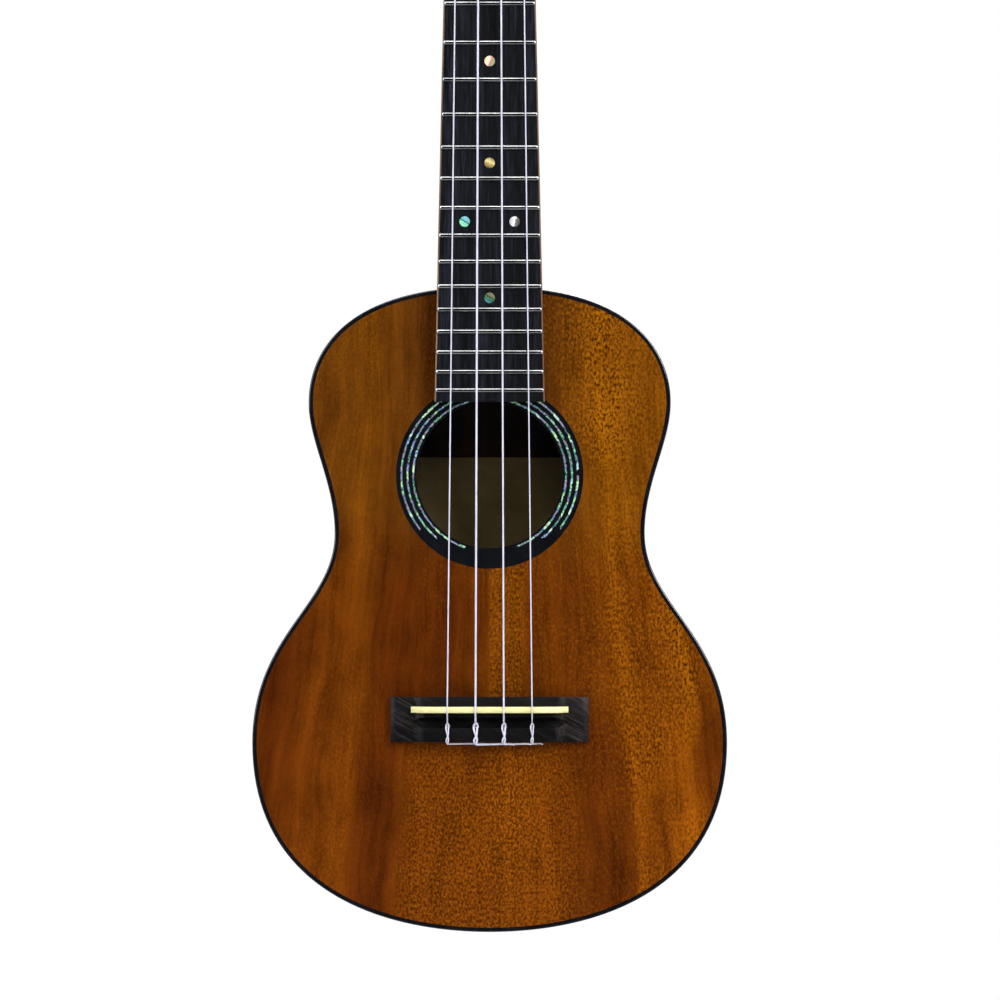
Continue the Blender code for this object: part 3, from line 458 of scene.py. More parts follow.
def koa(name, faces_front=True):
    """Glossy koa: bands that flare with the lower bout, fine streaks, ribbon figure and pore speckle.

    The plates' grain runs along Z in bands across X, with a seam in the middle; a side's bands lie along Y.
    """
    paint = Paint(name, Coat_Weight=0.5, Coat_Roughness=0.04, IOR=1.4, Specular_IOR_Level=0.1)
    x, y, z = paint.split(paint.place())
    if faces_front:
        across, half = x, paint.math("GREATER_THAN", x, 0.0)
        lane = x / paint.remap(z, -0.300, -0.510, 1.0, 1.41)
        calm = paint.remap(abs(x), 0.0, 0.012)
    else:
        across, half, calm = y, 0.0, 1.0
        lane = (y - 0.036) * 2.0
    seed = half * 3.7
    drift = paint.noise((lane, z * 0.35, seed), 3.0, 0.6, scale=45.0)
    lane = lane + (drift - 0.5) * calm * 0.009
    spot = paint.remap(lane, -KOA_REACH * MM, KOA_REACH * MM)
    boards = []
    for dark, bright, bands in (KOA_UPPER, KOA_MIDDLE, KOA_LOWER):
        stops = [((mid / KOA_REACH + 1) / 2, between(dark, bright, tone)) for mid, tone in bands]
        boards.append(paint.ramp(spot, stops, kind="EASE"))
    board = paint.mix(paint.remap(z, -0.335, -0.385, smooth=True), boards[0], boards[1])
    board = paint.mix(paint.remap(z, -0.425, -0.460, smooth=True), board, boards[2])
    bands = paint.noise((lane, z * 0.06, seed), 3.0, 0.6, scale=110.0)
    streaks = paint.noise((lane, z * 0.02, seed), 5.0, 0.8, scale=420.0)
    ribbon = paint.noise((lane, z * 0.4, seed), 4.0, 0.65, 0.3, scale=80.0)
    tone = bands * 0.35 + streaks * 0.3 + ribbon * 0.35
    figure = paint.ramp(tone, [(0.38, (158, 146, 122)), (0.52, (220, 217, 208)), (0.64, (255, 255, 255))])
    base = paint.mix(1.0, board, figure, "MULTIPLY")
    # pore speckle: strongest right of the middle and in the bright bands
    pores = paint.noise((across, z * 0.6, 0.2), 2.0, 0.6, 0.1, scale=950.0)
    light = paint.node("ShaderNodeRGBToBW", 0, {"Color": board})
    open_grain = paint.noise((lane, z * 0.45, 0.9), 2.0, 0.5, scale=30.0)
    side = paint.remap(x, -0.045, -0.008, 0.42, 0.8, smooth=True) + half * 0.2
    share = paint.remap(open_grain, 0.38, 0.6, 0.35, 1.0) * side
    share = share * paint.remap(light, 0.05, 0.11, 0.35, 1.0)
    glow = paint.remap(pores, 0.5, 0.34) * share
    base = paint.mix(glow * 0.35, base, colour(196, 122, 12))
    flecks = paint.remap(pores, 0.53, 0.59, 0.0, 0.9) * share
    if faces_front:
        # the curl has larger flecks, below the bridge and in a strip right of the seam
        curl = paint.noise((across, z * 0.7, 0.5), 1.5, 0.5, 0.1, scale=980.0)
        below = paint.remap(z, -0.435, -0.465, smooth=True) * paint.remap(abs(lane), 0.034, 0.026)
        lower_part = paint.remap(z, -0.345, -0.375, smooth=True)
        strip = paint.remap(x, 0.018, 0.013) * (lower_part * half)
        zone = paint.math("MAXIMUM", below, strip)
        base = paint.mix(paint.remap(curl, 0.5, 0.4, 0.0, 0.14) * zone, base, colour(190, 112, 10))
        flecks = paint.math("MAXIMUM", flecks, paint.remap(curl, 0.54, 0.62, 0.0, 0.65) * zone)
    base = paint.mix(flecks, base, colour(50, 18, 0))
    return paint.finish(base, streaks, (0.24, 0.34), 1.0 - flecks, 0.05 * MM, 0.06)


def wood(name, dark, middle, light, roughness, scale=1.0, pores=0.3, coat=0.0):
    """Straight-grained wood along the Z axis, with growth lines and short pores."""
    paint = Paint(name, Coat_Weight=coat, Coat_Roughness=0.12)
    x, y, z = paint.split(paint.place())
    bands = paint.noise((x, y, z * 0.04), 2.0, 0.5, 0.8, scale=60.0 * scale)
    lines = paint.noise((x, y, z * 0.02), 4.0, 0.7, scale=420.0 * scale)
    flecks = paint.noise((x, y, z * 0.08), 1.0, 0.5, scale=2400.0 * scale)
    base = paint.ramp(bands * 0.55 + lines * 0.45, [(0.34, dark), (0.5, middle), (0.66, light)])
    share = paint.remap(flecks, 0.56, 0.66) * pores
    base = paint.mix(share, base, colour(*[c * 0.35 for c in dark]))
    return paint.finish(base, lines, (roughness - 0.06, roughness + 0.08), lines - share, 0.08 * MM, 0.3)


def ebony(name, roughness, turn=(0, 0, 0), cast=(1, 1, 1), polished=None):
    """Near-black wood with grey-brown grain lines, darker within the polished half width."""
    paint = Paint(name, Specular_IOR_Level=0.22)
    x, y, z = paint.split(paint.place(turn=turn))
    lines = paint.noise((x, y, z * 0.04), 4.0, 0.72, scale=1500.0)
    bands = paint.noise((x, y, z * 0.05), 2.0, 0.5, scale=120.0)
    shades = [(0.38, (2, 2, 4)), (0.5, (7, 7, 10)), (0.64, (32, 32, 38))]
    shades = [(stop, [c * part for c, part in zip(tone, cast)]) for stop, tone in shades]
    base = paint.ramp(lines * 0.7 + bands * 0.3, shades)
    if polished:
        out = abs(paint.split(paint.place())[0])
        base = paint.mix(paint.remap(out, polished - MM, polished + MM, 0.85, 0.0), base, colour(6, 5, 6))
    return paint.finish(base, lines, (roughness - 0.08, roughness + 0.1), lines, 0.06 * MM, 0.35)


def mottled(name, noise, stops, roughness, bump=None, stretch=(1, 1, 1), **settings):
    """One noise gives the colour, the wear and the bump: lacquer, nylon, pearly plastic, the floor."""
    paint = Paint(name, **settings)
    grain = paint.noise(paint.place(scale=stretch), *noise)
    height = (grain, *bump) if bump else ()
    return paint.finish(paint.ramp(grain, stops), grain, roughness, *height)


def shell(name):
    """Abalone: bands of blue, green, violet and silver in small cells, each piece with its own cast."""
    paint = Paint(name, Coat_Weight=0.7, Coat_Roughness=0.05, Metallic=0.25)
    island = paint.node("ShaderNodeNewGeometry", "Random Per Island")
    ripple = paint.noise(paint.place(), 3.0, 0.6, 1.6, scale=760.0)
    cells = paint.node("ShaderNodeTexVoronoi", "Distance", {"Vector": paint.place(), "Scale": 900.0})
    value = paint.math("FRACT", island * 1.4 + ripple * 1.1 + cells * 0.5)
    return paint.finish(paint.ramp(value, SHELL_BANDS), ripple, (0.16, 0.34), ripple, 0.05 * MM, 0.2)


def dot_shell(name, bands, centre, angle):
    """One shell dot, banded across its width, with a fine ripple."""
    paint = Paint(name, Coat_Weight=0.7, Coat_Roughness=0.05)
    x, _, z = paint.split(paint.place(move=(-centre[0], 0, -centre[1])))
    reach = x * math.cos(angle) + z * math.sin(angle)
    ripple = paint.noise(paint.place(), 3.0, 0.6, 1.2, scale=700.0)
    base = paint.ramp(reach * 200.0 + ripple * 0.45 + 0.28, bands)
    return paint.finish(base, ripple, (0.16, 0.32), ripple, 0.04 * MM, 0.2)


def metal(name, tone, roughness):
    """Plated metal with fine scratches and softer, duller patches."""
    paint = Paint(name, Metallic=1.0)
    scratches = paint.noise(paint.place(scale=(1, 0.06, 1)), 3.0, 0.6, scale=2200.0)
    patches = paint.noise(paint.place(), 3.0, 0.55, scale=110.0)
    base = paint.ramp(patches, [(0.35, [c * 0.8 for c in tone]), (0.6, tone)])
    wear = scratches * 0.4 + patches * 0.6
    span = (roughness * 0.75, roughness * 1.35)
    return paint.finish(base, wear, span, scratches, 0.03 * MM, 0.12, span=(0.35, 0.65))


def bone(name):
    """Yellowed bone with faint long pores."""
    radius = (0.002, 0.0015, 0.0008)
    paint = Paint(name, Coat_Weight=0.2, Coat_Roughness=0.2, Subsurface_Weight=0.15, Subsurface_Radius=radius)
    pores = paint.noise(paint.place(scale=(0.1, 1, 1)), 3.0, 0.6, scale=1900.0)
    cloud = paint.noise(paint.place(), 2.0, 0.5, scale=130.0)
    base = paint.ramp(cloud, [(0.3, (214, 204, 138)), (0.7, (238, 232, 176))])
    base = paint.mix(paint.remap(pores, 0.58, 0.7, 0, 0.35), base, colour(172, 156, 98))
    return paint.finish(base, cloud, (0.28, 0.4), pores, 0.04 * MM, 0.15)


def paper_with_painted_shade(name):
    """Tan card with fibres, toned and a little foxed; its colours are also kept dark as painted shade for the
    dim inside of the body.
    """
    paint = Paint(name)
    fibre = paint.noise(paint.place(), 5.0, 0.7, scale=1300.0)
    stain = paint.noise(paint.place(), 3.0, 0.6, scale=45.0)
    # painted shade: the card's tans are darker than a lit label would be, for the dim inside of the body
    base = paint.ramp(stain, [(0.3, (92, 80, 50)), (0.7, (116, 102, 68))])
    base = paint.mix(paint.remap(fibre, 0.45, 0.7, 0.0, 0.3), base, colour(92, 66, 36))
    return paint.finish(base, fibre, (0.75, 0.9), fibre, 0.04 * MM, 0.3)


LACQUER = [(0.3, (8, 9, 12)), (0.7, (16, 18, 22))]
NYLON = [(0.3, (186, 186, 204)), (0.7, (216, 214, 230))]
PEARL = [(0.3, (188, 184, 176)), (0.45, (226, 222, 210)), (0.55, (204, 206, 208)), (0.7, (240, 236, 224))]
FLOOR = [(0.3, (238, 238, 239)), (0.7, (246, 246, 247))]
# Each look's material and slot
LOOKS = {
    "koa": (koa("koa_plate"), "koa"),
    "koa_side": (koa("koa_side", faces_front=False), "koa"),
    "mahogany": (
        wood("mahogany", (52, 24, 12), (88, 42, 22), (116, 62, 34), 0.34, pores=0.6, coat=0.25),
        "mahogany",
    ),
    # painted shade: the inside wood is made dark to stand in for the shade inside the body
    "inside": (wood("inside_wood_painted_shade", (22, 12, 6), (36, 20, 9), (52, 30, 13), 0.7), "mahogany"),
    "spruce": (
        wood("spruce", (150, 112, 68), (182, 146, 96), (206, 174, 124), 0.62, scale=1.6, pores=0.1),
        "spruce",
    ),
    "edge": (
        wood("edge_strip", (74, 48, 34), (110, 80, 58), (138, 108, 80), 0.45, scale=2.0, pores=0.4),
        "mahogany",
    ),
    "ebony": (ebony("ebony_board", 0.5, cast=(0.85, 1.0, 1.16)), "ebony"),
    "head": (ebony("ebony_head", 0.45, (HEAD_ANGLE, 0, 0)), "ebony"),
    "bridge": (
        ebony("ebony_bridge", 0.5, (0, math.radians(62), 0), (1.8, 1.45, 1.18), BRIDGE_CENTRE),
        "ebony",
    ),
    "binding": (
        mottled("binding", (3.0, 0.6, 0.0, 90.0), LACQUER, (0.12, 0.22), (0.05 * MM, 0.08),
                Coat_Weight=0.6, Coat_Roughness=0.04, IOR=1.5),
        "binding",
    ),
    "shell": (shell("shell_lines"), "pearl"),
    "fret": (metal("fret_metal", (206, 206, 206), 0.2), "nickel"),
    "nickel": (metal("nickel", (208, 206, 200), 0.24), "nickel"),
    "brass": (metal("gear_brass", (206, 170, 96), 0.28), "nickel"),
    "bone": (bone("bone"), "bone"),
    "nylon": (
        mottled("nylon", (2.0, 0.5, 0.0, 1500.0), NYLON, (0.2, 0.34), (0.03 * MM, 0.1), (1, 1, 0.08),
                IOR=1.45, Coat_Weight=0.3, Coat_Roughness=0.1),
        "nylon",
    ),
    "pearl": (
        mottled("pearl_button", (4.0, 0.6, 2.2, 140.0), PEARL, (0.18, 0.3), (0.06 * MM, 0.1),
                Coat_Weight=0.6, Coat_Roughness=0.06, Sheen_Weight=0.1),
        "pearl",
    ),
    "paper_with_painted_shade": (paper_with_painted_shade("label_card"), "koa"),
}


# ---- body ----


def half_outline():
    """The right half of the body's edge from the neck round to the tail: points with inward normals."""
    top, bottom = (0, BODY_TOP), (0, BODY_BOTTOM)
    bout, waist, lower = UPPER_BOUT, WAIST, LOWER_BOUT
    curves = [
        (top, (84.2 * MM, top[1]), (bout[0], bout[1] + 7.1 * MM), bout),
        (bout, (bout[0], bout[1] - 18.1 * MM), (waist[0], waist[1] + 23.4 * MM), waist),
        (waist, (waist[0], waist[1] - 33.7 * MM), (lower[0], lower[1] + 51.2 * MM), lower),
        (lower, (lower[0], lower[1] - 67.6 * MM), (51.6 * MM, bottom[1]), bottom),
    ]
    found = [spot for curve in curves for spot in bezier(*curve, 40)]
    found.append((Vector(bottom), Vector((-1, 0))))
    return [(point, Vector((slope[1], -slope[0])).normalized()) for point, slope in found]


def whole_edge():
    right = half_outline()
    left = [(Vector((-p[0], p[1])), Vector((-n[0], n[1]))) for p, n in right[-2:0:-1]]
    return right + left


def outline(inset):
    return [tuple(point + normal * inset) for point, normal in whole_edge()]


def back_depth(z):
    return DEPTH_AT_HEEL + BACK_SLOPE * (BODY_TOP - z)


def edge_ring(section, stations, hand=1):
    """Rings of (inset, depth from front, depth from back); the last counts where the second is None."""
    rings = []
    for point, normal in stations:
        ring = []
        for inset, front, back in section:
            place = point + normal * inset
            depth = front if front is not None else back_depth(place[1]) - back
            ring.append((hand * place[0], depth, place[1]))
        rings.append(ring)
    return rings


def from_front(section):
    return [(inset, level, 0) for inset, level in section]


def from_back(section):
    return [(inset, None, level) for inset, level in section]


def slat(half, low, high, inside, thick):
    """A flat strip that follows the back, a distance inside its outer face."""
    corners = [(-half, low), (half, low), (half, high), (-half, high)]
    return loft([[(x, back_depth(z) - inside - h, z) for x, z in corners] for h in (0, thick)])


def add_plates():
    inset = BINDING_WIDTH + HAIR
    top = plate(outline(inset), [circle(HOLE_RADIUS, 128, (0, HOLE_CENTRE))], 0, PLATE)
    top = show("soundboard_plate", top, "koa", replaces="soundboard")
    recess = turned([(ROSETTE_RADIUS + 0.03 * MM, y) for y in (-MM, ROSETTE_HIGH.y + HAIR)], 128)
    cut(top, recess, Matrix.Translation((0, 0, HOLE_CENTRE)))
    back = plate(outline(inset), [], -PLATE, 0)
    for vert in back.verts:
        vert.co.y += back_depth(vert.co.z)
    item = show("back_plate_bookmatched", back, "koa", replaces="back_plate")
    # the back's inner faces take the dark inside wood: painted shade for the dim inside of the body
    item.data.materials.append(LOOKS["inside"][0])
    for face in item.data.polygons:
        face.material_index = 1 if face.normal.y < -0.5 else 0
    strip = slat(1.2 * MM, BODY_BOTTOM + BINDING_WIDTH, BODY_TOP - BINDING_WIDTH, -0.03 * MM, 0.53 * MM)
    show("back_centre_strip", strip, "binding")


def add_bindings():
    corner = 0.75 * MM
    arc = [math.radians(a) for a in range(0, 91, 18)]
    section = [(corner * (1 - math.cos(a)), corner * (1 - math.sin(a))) for a in arc]
    section += [(BINDING_WIDTH, 0), (BINDING_WIDTH, BINDING_DEPTH), (0, BINDING_DEPTH)]
    edges = (("front", from_front(section), "binding_top"), ("rear", from_back(section), "binding_back"))
    for name, section, node in edges:
        ring = loft(edge_ring(section, whole_edge()), joined=True)
        show(f"binding_{name}_edge", ring, "binding", replaces=node)


def add_sides():
    """Bent ribs, with the kerfed linings as separate blocks on a thin strip, and an end strip at the tail."""
    thick, wide, tall = 2.2 * MM, 4.8 * MM, 9.0 * MM
    base, depth, low, high = thick + MM, BINDING_DEPTH + HAIR, INNER_FACE, INNER_FACE + tall
    # the ribs leave the neck joint's middle open
    stations = [s for s in half_outline() if s[0][0] > 5.5 * MM or s[0][1] < BODY_TOP - 50 * MM]
    rib = [(0, depth), (thick, depth), (thick, low), (base, low), (base, high), (thick, high)]
    block = [(base, low), (thick + wide, low), (thick + wide, low + tall / 2), (base, high)]
    for name, hand in (("bass", -1), ("treble", 1)):
        rings = edge_ring(from_front(rib) + from_back(rib[::-1]), stations, hand)
        show(f"rib_{name}", loft(rings), "koa_side", replaces=f"side_{name}")
        blocks = bmesh.new()
        run = [s for s in stations if abs(s[0][0]) > 26 * MM]
        for ends in zip(run[::2], run[1::2]):
            for section in (from_front(block), from_back(block)):
                loft(edge_ring(section, ends, hand), bm=blocks)
        show(f"kerfed_linings_{name}", blocks, (LOOKS["spruce"][0], "mahogany"))
    half, seat = 1.5 * MM, BINDING_DEPTH + 0.2 * MM
    high = (half, back_depth(BODY_BOTTOM) - seat, BODY_BOTTOM + 0.6 * MM)
    show("tail_end_strip", box((-half, seat, BODY_BOTTOM + HAIR), high), "binding")


def add_rosette():
    """A black ring with three lines of shell pieces that stop short of a plain crescent at the bottom."""
    ring = plate(circle(ROSETTE_RADIUS, 160), [circle(HOLE_RADIUS, 160)], 0, ROSETTE_HIGH.y)
    lift = Matrix.Translation((0, 0, HOLE_CENTRE))
    show("rosette_ring", ring, "binding", replaces="rosette", matrix=lift)
    rng = random.Random(5)
    half_line, arc_centre, arc_radius = 0.52 * MM, Vector((0, 22.3 * MM)), 57.0 * MM
    bm = bmesh.new()
    for radius in (41.0 * MM, 38.2 * MM, 35.5 * MM):
        angle = rng.uniform(0, 0.1)
        while angle < math.tau:
            start, span = angle, rng.uniform(1.2, 3.8) * MM / radius
            middle = start + span / 2
            lean = rng.uniform(-0.9, 0.9) * MM / radius
            angle = start + span + rng.uniform(0.1, 0.5) * MM / radius
            place = Vector((radius * math.cos(middle), radius * math.sin(middle)))
            if (place - arc_centre).length > arc_radius:
                continue
            wide = half_line * rng.uniform(0.7, 1.0)
            rim = []
            for r, shift in ((radius - wide, -lean), (radius + wide, lean)):
                run = [start + shift + span * i / 5 for i in range(6)]
                rim.append([(r * math.cos(a), r * math.sin(a)) for a in run])
            loft([[(x, y, z) for x, z in rim[0] + rim[1][::-1]] for y in (-0.03 * MM, 0.5 * MM)], bm=bm)
    show("rosette_shell_lines", bm, "shell", matrix=lift)


def add_inside():
    """What shows through the soundhole: back braces, centre graft and a plain card label."""
    tall = 7 * MM
    for number, (z, half) in enumerate(mm([(-282, 72), (-385, 74), (-470, 98)]), 1):
        side = [(half, 0), (half, 1.5 * MM), (half - 16 * MM, tall - MM), (half - 22 * MM, tall)]
        profile = side + [(-x, h) for x, h in side[::-1]]
        rear = back_depth(z) - INNER_FACE
        brace = loft([[(x, rear - h, z + across) for x, h in profile] for across in (-3 * MM, 3 * MM)])
        show(f"back_brace_{number}", brace, "spruce", bevel=0.5 * MM)
    # the centre grafts use the dark inside wood: painted shade for the dim inside of the body
    for number, (low, high) in enumerate(mm([(-466, -389), (-381, -286)]), 1):
        graft = slat(6 * MM, low, high, INNER_FACE, 1.6 * MM)
        show(f"back_graft_{number}", graft, "inside", bevel=0.4 * MM)
    # the label card's dark tan is painted shade for the dim inside of the body
    label = slat(41 * MM, LABEL_TOP - 58 * MM, LABEL_TOP, INNER_FACE + 1.75 * MM, 0.25 * MM)
    show("label_card", label, "paper_with_painted_shade", bevel=0.08 * MM)


# ---- neck, fingerboard and headstock ----


def board_half_width(z):
    return (NUT_WIDTH - BOARD_TAPER * z) / 2


def fret_z(number):
    return -SCALE_LENGTH * (1 - 2 ** (-number / 12))


def head_outline():
    """Right half of the headstock's edge, from the nut up to the middle of the crown, as (x, z) points."""
    half, crown = NUT_WIDTH / 2, HEAD_LENGTH
    flare, corner = (31.0 * MM, 44 * MM), (33.5 * MM, crown - 25 * MM)
    curves = [
        ((half, 0), (half, 18 * MM), (flare[0] - 1.5 * MM, flare[1] - 16 * MM), flare),
        (flare, (flare[0] + 1.2 * MM, flare[1] + 13 * MM), (corner[0], corner[1] - 20 * MM), corner),
        (corner, (corner[0], crown - 6 * MM), (20 * MM, crown), (0, crown)),
    ]
    return [tuple(point) for curve in curves for point, _ in bezier(*curve, 16)] + [(0, crown)]


def neck_section(half, depth, squareness, heel):
    """The neck's cross-section as (x, depth) points: flat front, round back, blended into the heel."""
    steps, cap_steps, cap_half, chamfer, front = 24, 6, 10.5 * MM, 0.9 * MM, 0.8 * MM

    def heel_half(y):
        return cap_half + (half - cap_half) * (1 - min(1.0, y / DEPTH_AT_HEEL)) ** 1.7

    side = []
    for i in range(steps + 1):
        angle = math.pi / 2 * i / steps
        x = half * math.cos(angle) ** squareness if i < steps else 0.0
        y = front + (depth - front) * math.sin(angle) ** squareness
        heel_y = front + (depth - front - chamfer) * min(1.0, i / (steps - cap_steps))
        heel_x = heel_half(heel_y)
        if i > steps - cap_steps:
            turn = math.asin(1 - max(0, steps - 2 - i) / (cap_steps - 2))
            flat = (heel_half(depth) - chamfer) * min(1.0, (steps - i) / 2)
            heel_x = flat + chamfer * math.cos(turn) * (1 if i < steps else 0)
            heel_y = depth - chamfer * (1 - math.sin(turn))
        side.append((x + (heel_x - x) * heel, y + (heel_y - y) * heel))
    left = [(-x, y) for x, y in side[-2::-1]]
    return [(-half, 0), (half, 0)] + side + left


def add_neck():
    rings = []
    # the neck's end wraps the foot of the headstock's plate by a hair, like a glued joint
    wrap, foot = 0.05 * MM, 6
    for x, z in head_outline()[foot + 1 :: -1]:
        squareness = 1 - 0.96 * smooth_step(z / (15 * MM))
        extra = 1.4 * MM * (1 - smooth_step(z / (17 * MM)))
        section = neck_section(x + wrap, HEAD_THICKNESS + extra + wrap, squareness, 0)
        rings.append([TO_HEAD @ Vector((px, py, z)) for px, py in section])
    heel_start, cap_start = -198 * MM, BODY_TOP + 13 * MM
    stops = [-i * 11 * MM for i in range(18)]
    stops += [heel_start + (cap_start - heel_start) * math.sin(math.radians(a)) for a in range(3, 91, 3)]
    for z in stops + [BODY_TOP + 0.2 * MM]:
        shaft = 13.5 * MM - 0.008 * z
        share = min(1.0, max(0.0, (heel_start - z) / (heel_start - cap_start)))
        deep = (DEPTH_AT_HEEL - 0.4 * MM) - shaft
        depth = shaft + deep * (1 - math.sqrt(1 - share * share))
        section = neck_section(board_half_width(z), depth, 1.0, smooth_step((share - 0.3) / 0.7))
        rings.append([(x, y, z) for x, y in section])
    show("neck_shaft", loft(rings), "mahogany", replaces="neck", sharp=50)
    half = head_outline()[foot:]
    outer = half + [(-x, z) for x, z in half[-2::-1]]
    holes = [circle(4.3 * MM, 40, place) for place in POST_PLACES]
    show("headstock", plate(outer, holes, 0, HEAD_THICKNESS), "mahogany", bevel=0.9 * MM, matrix=TO_HEAD)
    outer = [(NUT_WIDTH / 2, 0.4 * MM)] + head_outline()[1:]
    outer += [(-x, z) for x, z in outer[-2::-1]]
    veneer = plate(outer, holes, -1.7 * MM, -HAIR)
    show("headstock_veneer", veneer, "head", replaces="headplate", bevel=0.35 * MM, matrix=TO_HEAD)


def add_fingerboard():
    """The blank with its fret slots, a brown strip along each edge, and the shell dots."""
    strip, edge, face = 0.7 * MM, 0.35 * MM, BOARD_FACE
    blank, strips = [], {-1: [], 1: []}
    for z in (-0.1 * MM, BOARD_END):
        outer, inner = board_half_width(z), board_half_width(z) - strip
        blank.append([(-inner, -HAIR, z), (inner, -HAIR, z), (inner, face, z), (-inner, face, z)])
        ring = [(inner, -HAIR), (outer, -HAIR), (outer, face + edge), (outer - edge * 0.3, face + edge * 0.3)]
        ring += [(outer - edge, face), (inner, face)]
        for hand, rings in strips.items():
            rings.append([(hand * x, y, z) for x, y in ring])
    board = show("fingerboard_blank", loft(blank), "ebony", replaces="fingerboard")
    slots, edges = bmesh.new(), bmesh.new()
    for number in range(1, FRET_COUNT + 1):
        z, reach, half = fret_z(number), 40 * MM, 0.3 * MM
        box((-reach, face - MM, z - half), (reach, face + 2.0 * MM, z + half), slots)
    cut(board, slots)
    for rings in strips.values():
        loft(rings, bm=edges)
    show("fingerboard_edge_strips", edges, "edge")
    for number, (fret, x, bands, angle) in enumerate(DOTS, 1):
        z = (fret_z(fret) + fret_z(fret - 1)) / 2
        dot = turned([(2.42 * MM, face + MM), (2.42 * MM, face), (2.3 * MM, face - 0.03 * MM)], 48)
        look = (dot_shell(f"dot_shell_{number}", bands, (x, z), angle), "pearl")
        show(f"position_dot_{number}", dot, look, matrix=Matrix.Translation((x, 0, z)))


def add_frets():
    """Half-round crowns with bevelled ends and tangs that stop inside the edge strips."""
    tang_half, tang_depth = 0.22 * MM, 1.7 * MM
    crown = [(MM * math.cos(a), -MM * math.sin(a) ** 0.9) for a in (math.pi * i / 14 for i in range(15))]
    for number in range(1, FRET_COUNT + 1):
        z = fret_z(number)
        end = board_half_width(z) - 0.15 * MM
        stations = [(-end, 0.12), (0.25 * MM - end, 0.55), (0.8 * MM - end, 0.97), (1.1 * MM - end, 1)]
        stations += [(-x, rise) for x, rise in stations[::-1]]
        foot = BOARD_FACE - 0.01 * MM
        bm = loft([[(x, foot + y * rise, z + a) for a, y in crown] for x, rise in stations])
        reach = end - MM
        box((-reach, BOARD_FACE, z - tang_half), (reach, BOARD_FACE + tang_depth, z + tang_half), bm)
        show(f"fret_wire_{number:02d}", bm, "fret", replaces=f"fret_{number:02d}", sharp=50)


def add_nut():
    """The nut, with a slot filed for each string that falls towards the headstock."""
    half, front, rear, top = NUT_WIDTH / 2, -7.0 * MM, -6.3 * MM, NUT_LENGTH - 0.25 * MM
    profile = [(0, -HAIR), (0, front), (1.2 * MM, front - 0.09 * MM), (2.6 * MM, front + 0.12 * MM)]
    profile += [(top, rear), (top, -HAIR)]
    bm = loft([[(x, y, z) for z, y in profile] for x in (-half, half)])
    nut = show("nut_block", bm, "bone", replaces="nut", bevel=0.35 * MM)
    for (x, _), diameter in zip(STRING_ENDS, STRING_DIAMETERS):
        radius = diameter / 2 + 0.06 * MM
        tilt = Matrix.Translation((x, STRING_AT_NUT, 0)) @ Matrix.Rotation(-math.atan2(0.3, 5), 4, "X")
        ring = [(-radius * math.cos(a), radius * math.sin(a)) for a in (math.pi * i / 12 for i in range(13))]
        ring += [(radius, -2 * MM), (-radius, -2 * MM)]
        cut(nut, loft([[(a, b, along) for a, b in ring] for along in (-12 * MM, 12 * MM)]), tilt)


# ---- bridge and saddle ----


def bridge_height(x):
    """Height of the bridge's top along its width: a raised middle, scooped shoulders, thin wings."""
    high, wing, run_out = -BRIDGE_LOW.y, 3.6 * MM, 4 * MM
    if abs(x) < BRIDGE_CENTRE:
        return high
    scoop = min(1.0, (abs(x) - BRIDGE_CENTRE) / (6 * MM))
    fall = max(0.0, (abs(x) - (BRIDGE_HIGH.x - run_out)) / run_out)
    return wing + (high - wing) * (1 - scoop) ** 2.6 - 1.2 * MM * fall**2.5


def add_bridge():
    end, edge, sky = BRIDGE_HIGH.x, 0.55 * MM, -9 * MM
    top, bottom = BRIDGE_HIGH.z, BRIDGE_LOW.z
    half = [0.0, 10 * MM, 20 * MM] + [BRIDGE_CENTRE + 6 * MM * (i / 14) ** 1.4 for i in range(15)]
    half += [end - 4 * MM + 4 * MM * i / 8 for i in range(9)]
    rings = []
    for x in [-x for x in half[:0:-1]] + half:
        high = bridge_height(x)
        ring = [(top, -HAIR), (top, edge - high), (top - edge * 0.3, edge * 0.3 - high), (top - edge, -high)]
        ring += [(bottom + edge, -high), (bottom + edge * 0.3, edge * 0.3 - high), (bottom, edge - high)]
        rings.append([(x, y, z) for z, y in ring + [(bottom, -HAIR)]])
    bridge = show("tie_bridge", loft(rings), "bridge", replaces="bridge", sharp=28)
    slot_half, slot_end = SADDLE_HALF + 0.12 * MM, SADDLE_HIGH.x + 0.15 * MM
    cut(bridge, box((-slot_end, sky, SADDLE_Z - slot_half), (slot_end, -1.4 * MM, SADDLE_Z + slot_half)))
    # the tie channel, pointed at its ends
    near, far, floor, reach = *CHANNEL, 3.0 * MM, 36.7 * MM
    point = (near + far) / 2 + 0.3 * MM
    groove = []
    for y, lean in ((sky, 0.4 * MM), (-floor, 0.0)):
        ring = [(reach, point), (reach - 5.5 * MM, near), (5.5 * MM - reach, near), (-reach, point)]
        ring += [(5.0 * MM - reach, far - lean), (reach - 5.0 * MM, far - lean)]
        groove.append([(x, y, z) for x, z in ring])
    cut(bridge, loft(groove))
    for _, x in STRING_ENDS:
        rod = turned([(0.85 * MM, sky), (0.85 * MM, 4.5 * MM)], 24, "Z")
        cut(bridge, rod, Matrix.Translation((x, TIE_HOLE, CHANNEL[1] - 2 * MM)))


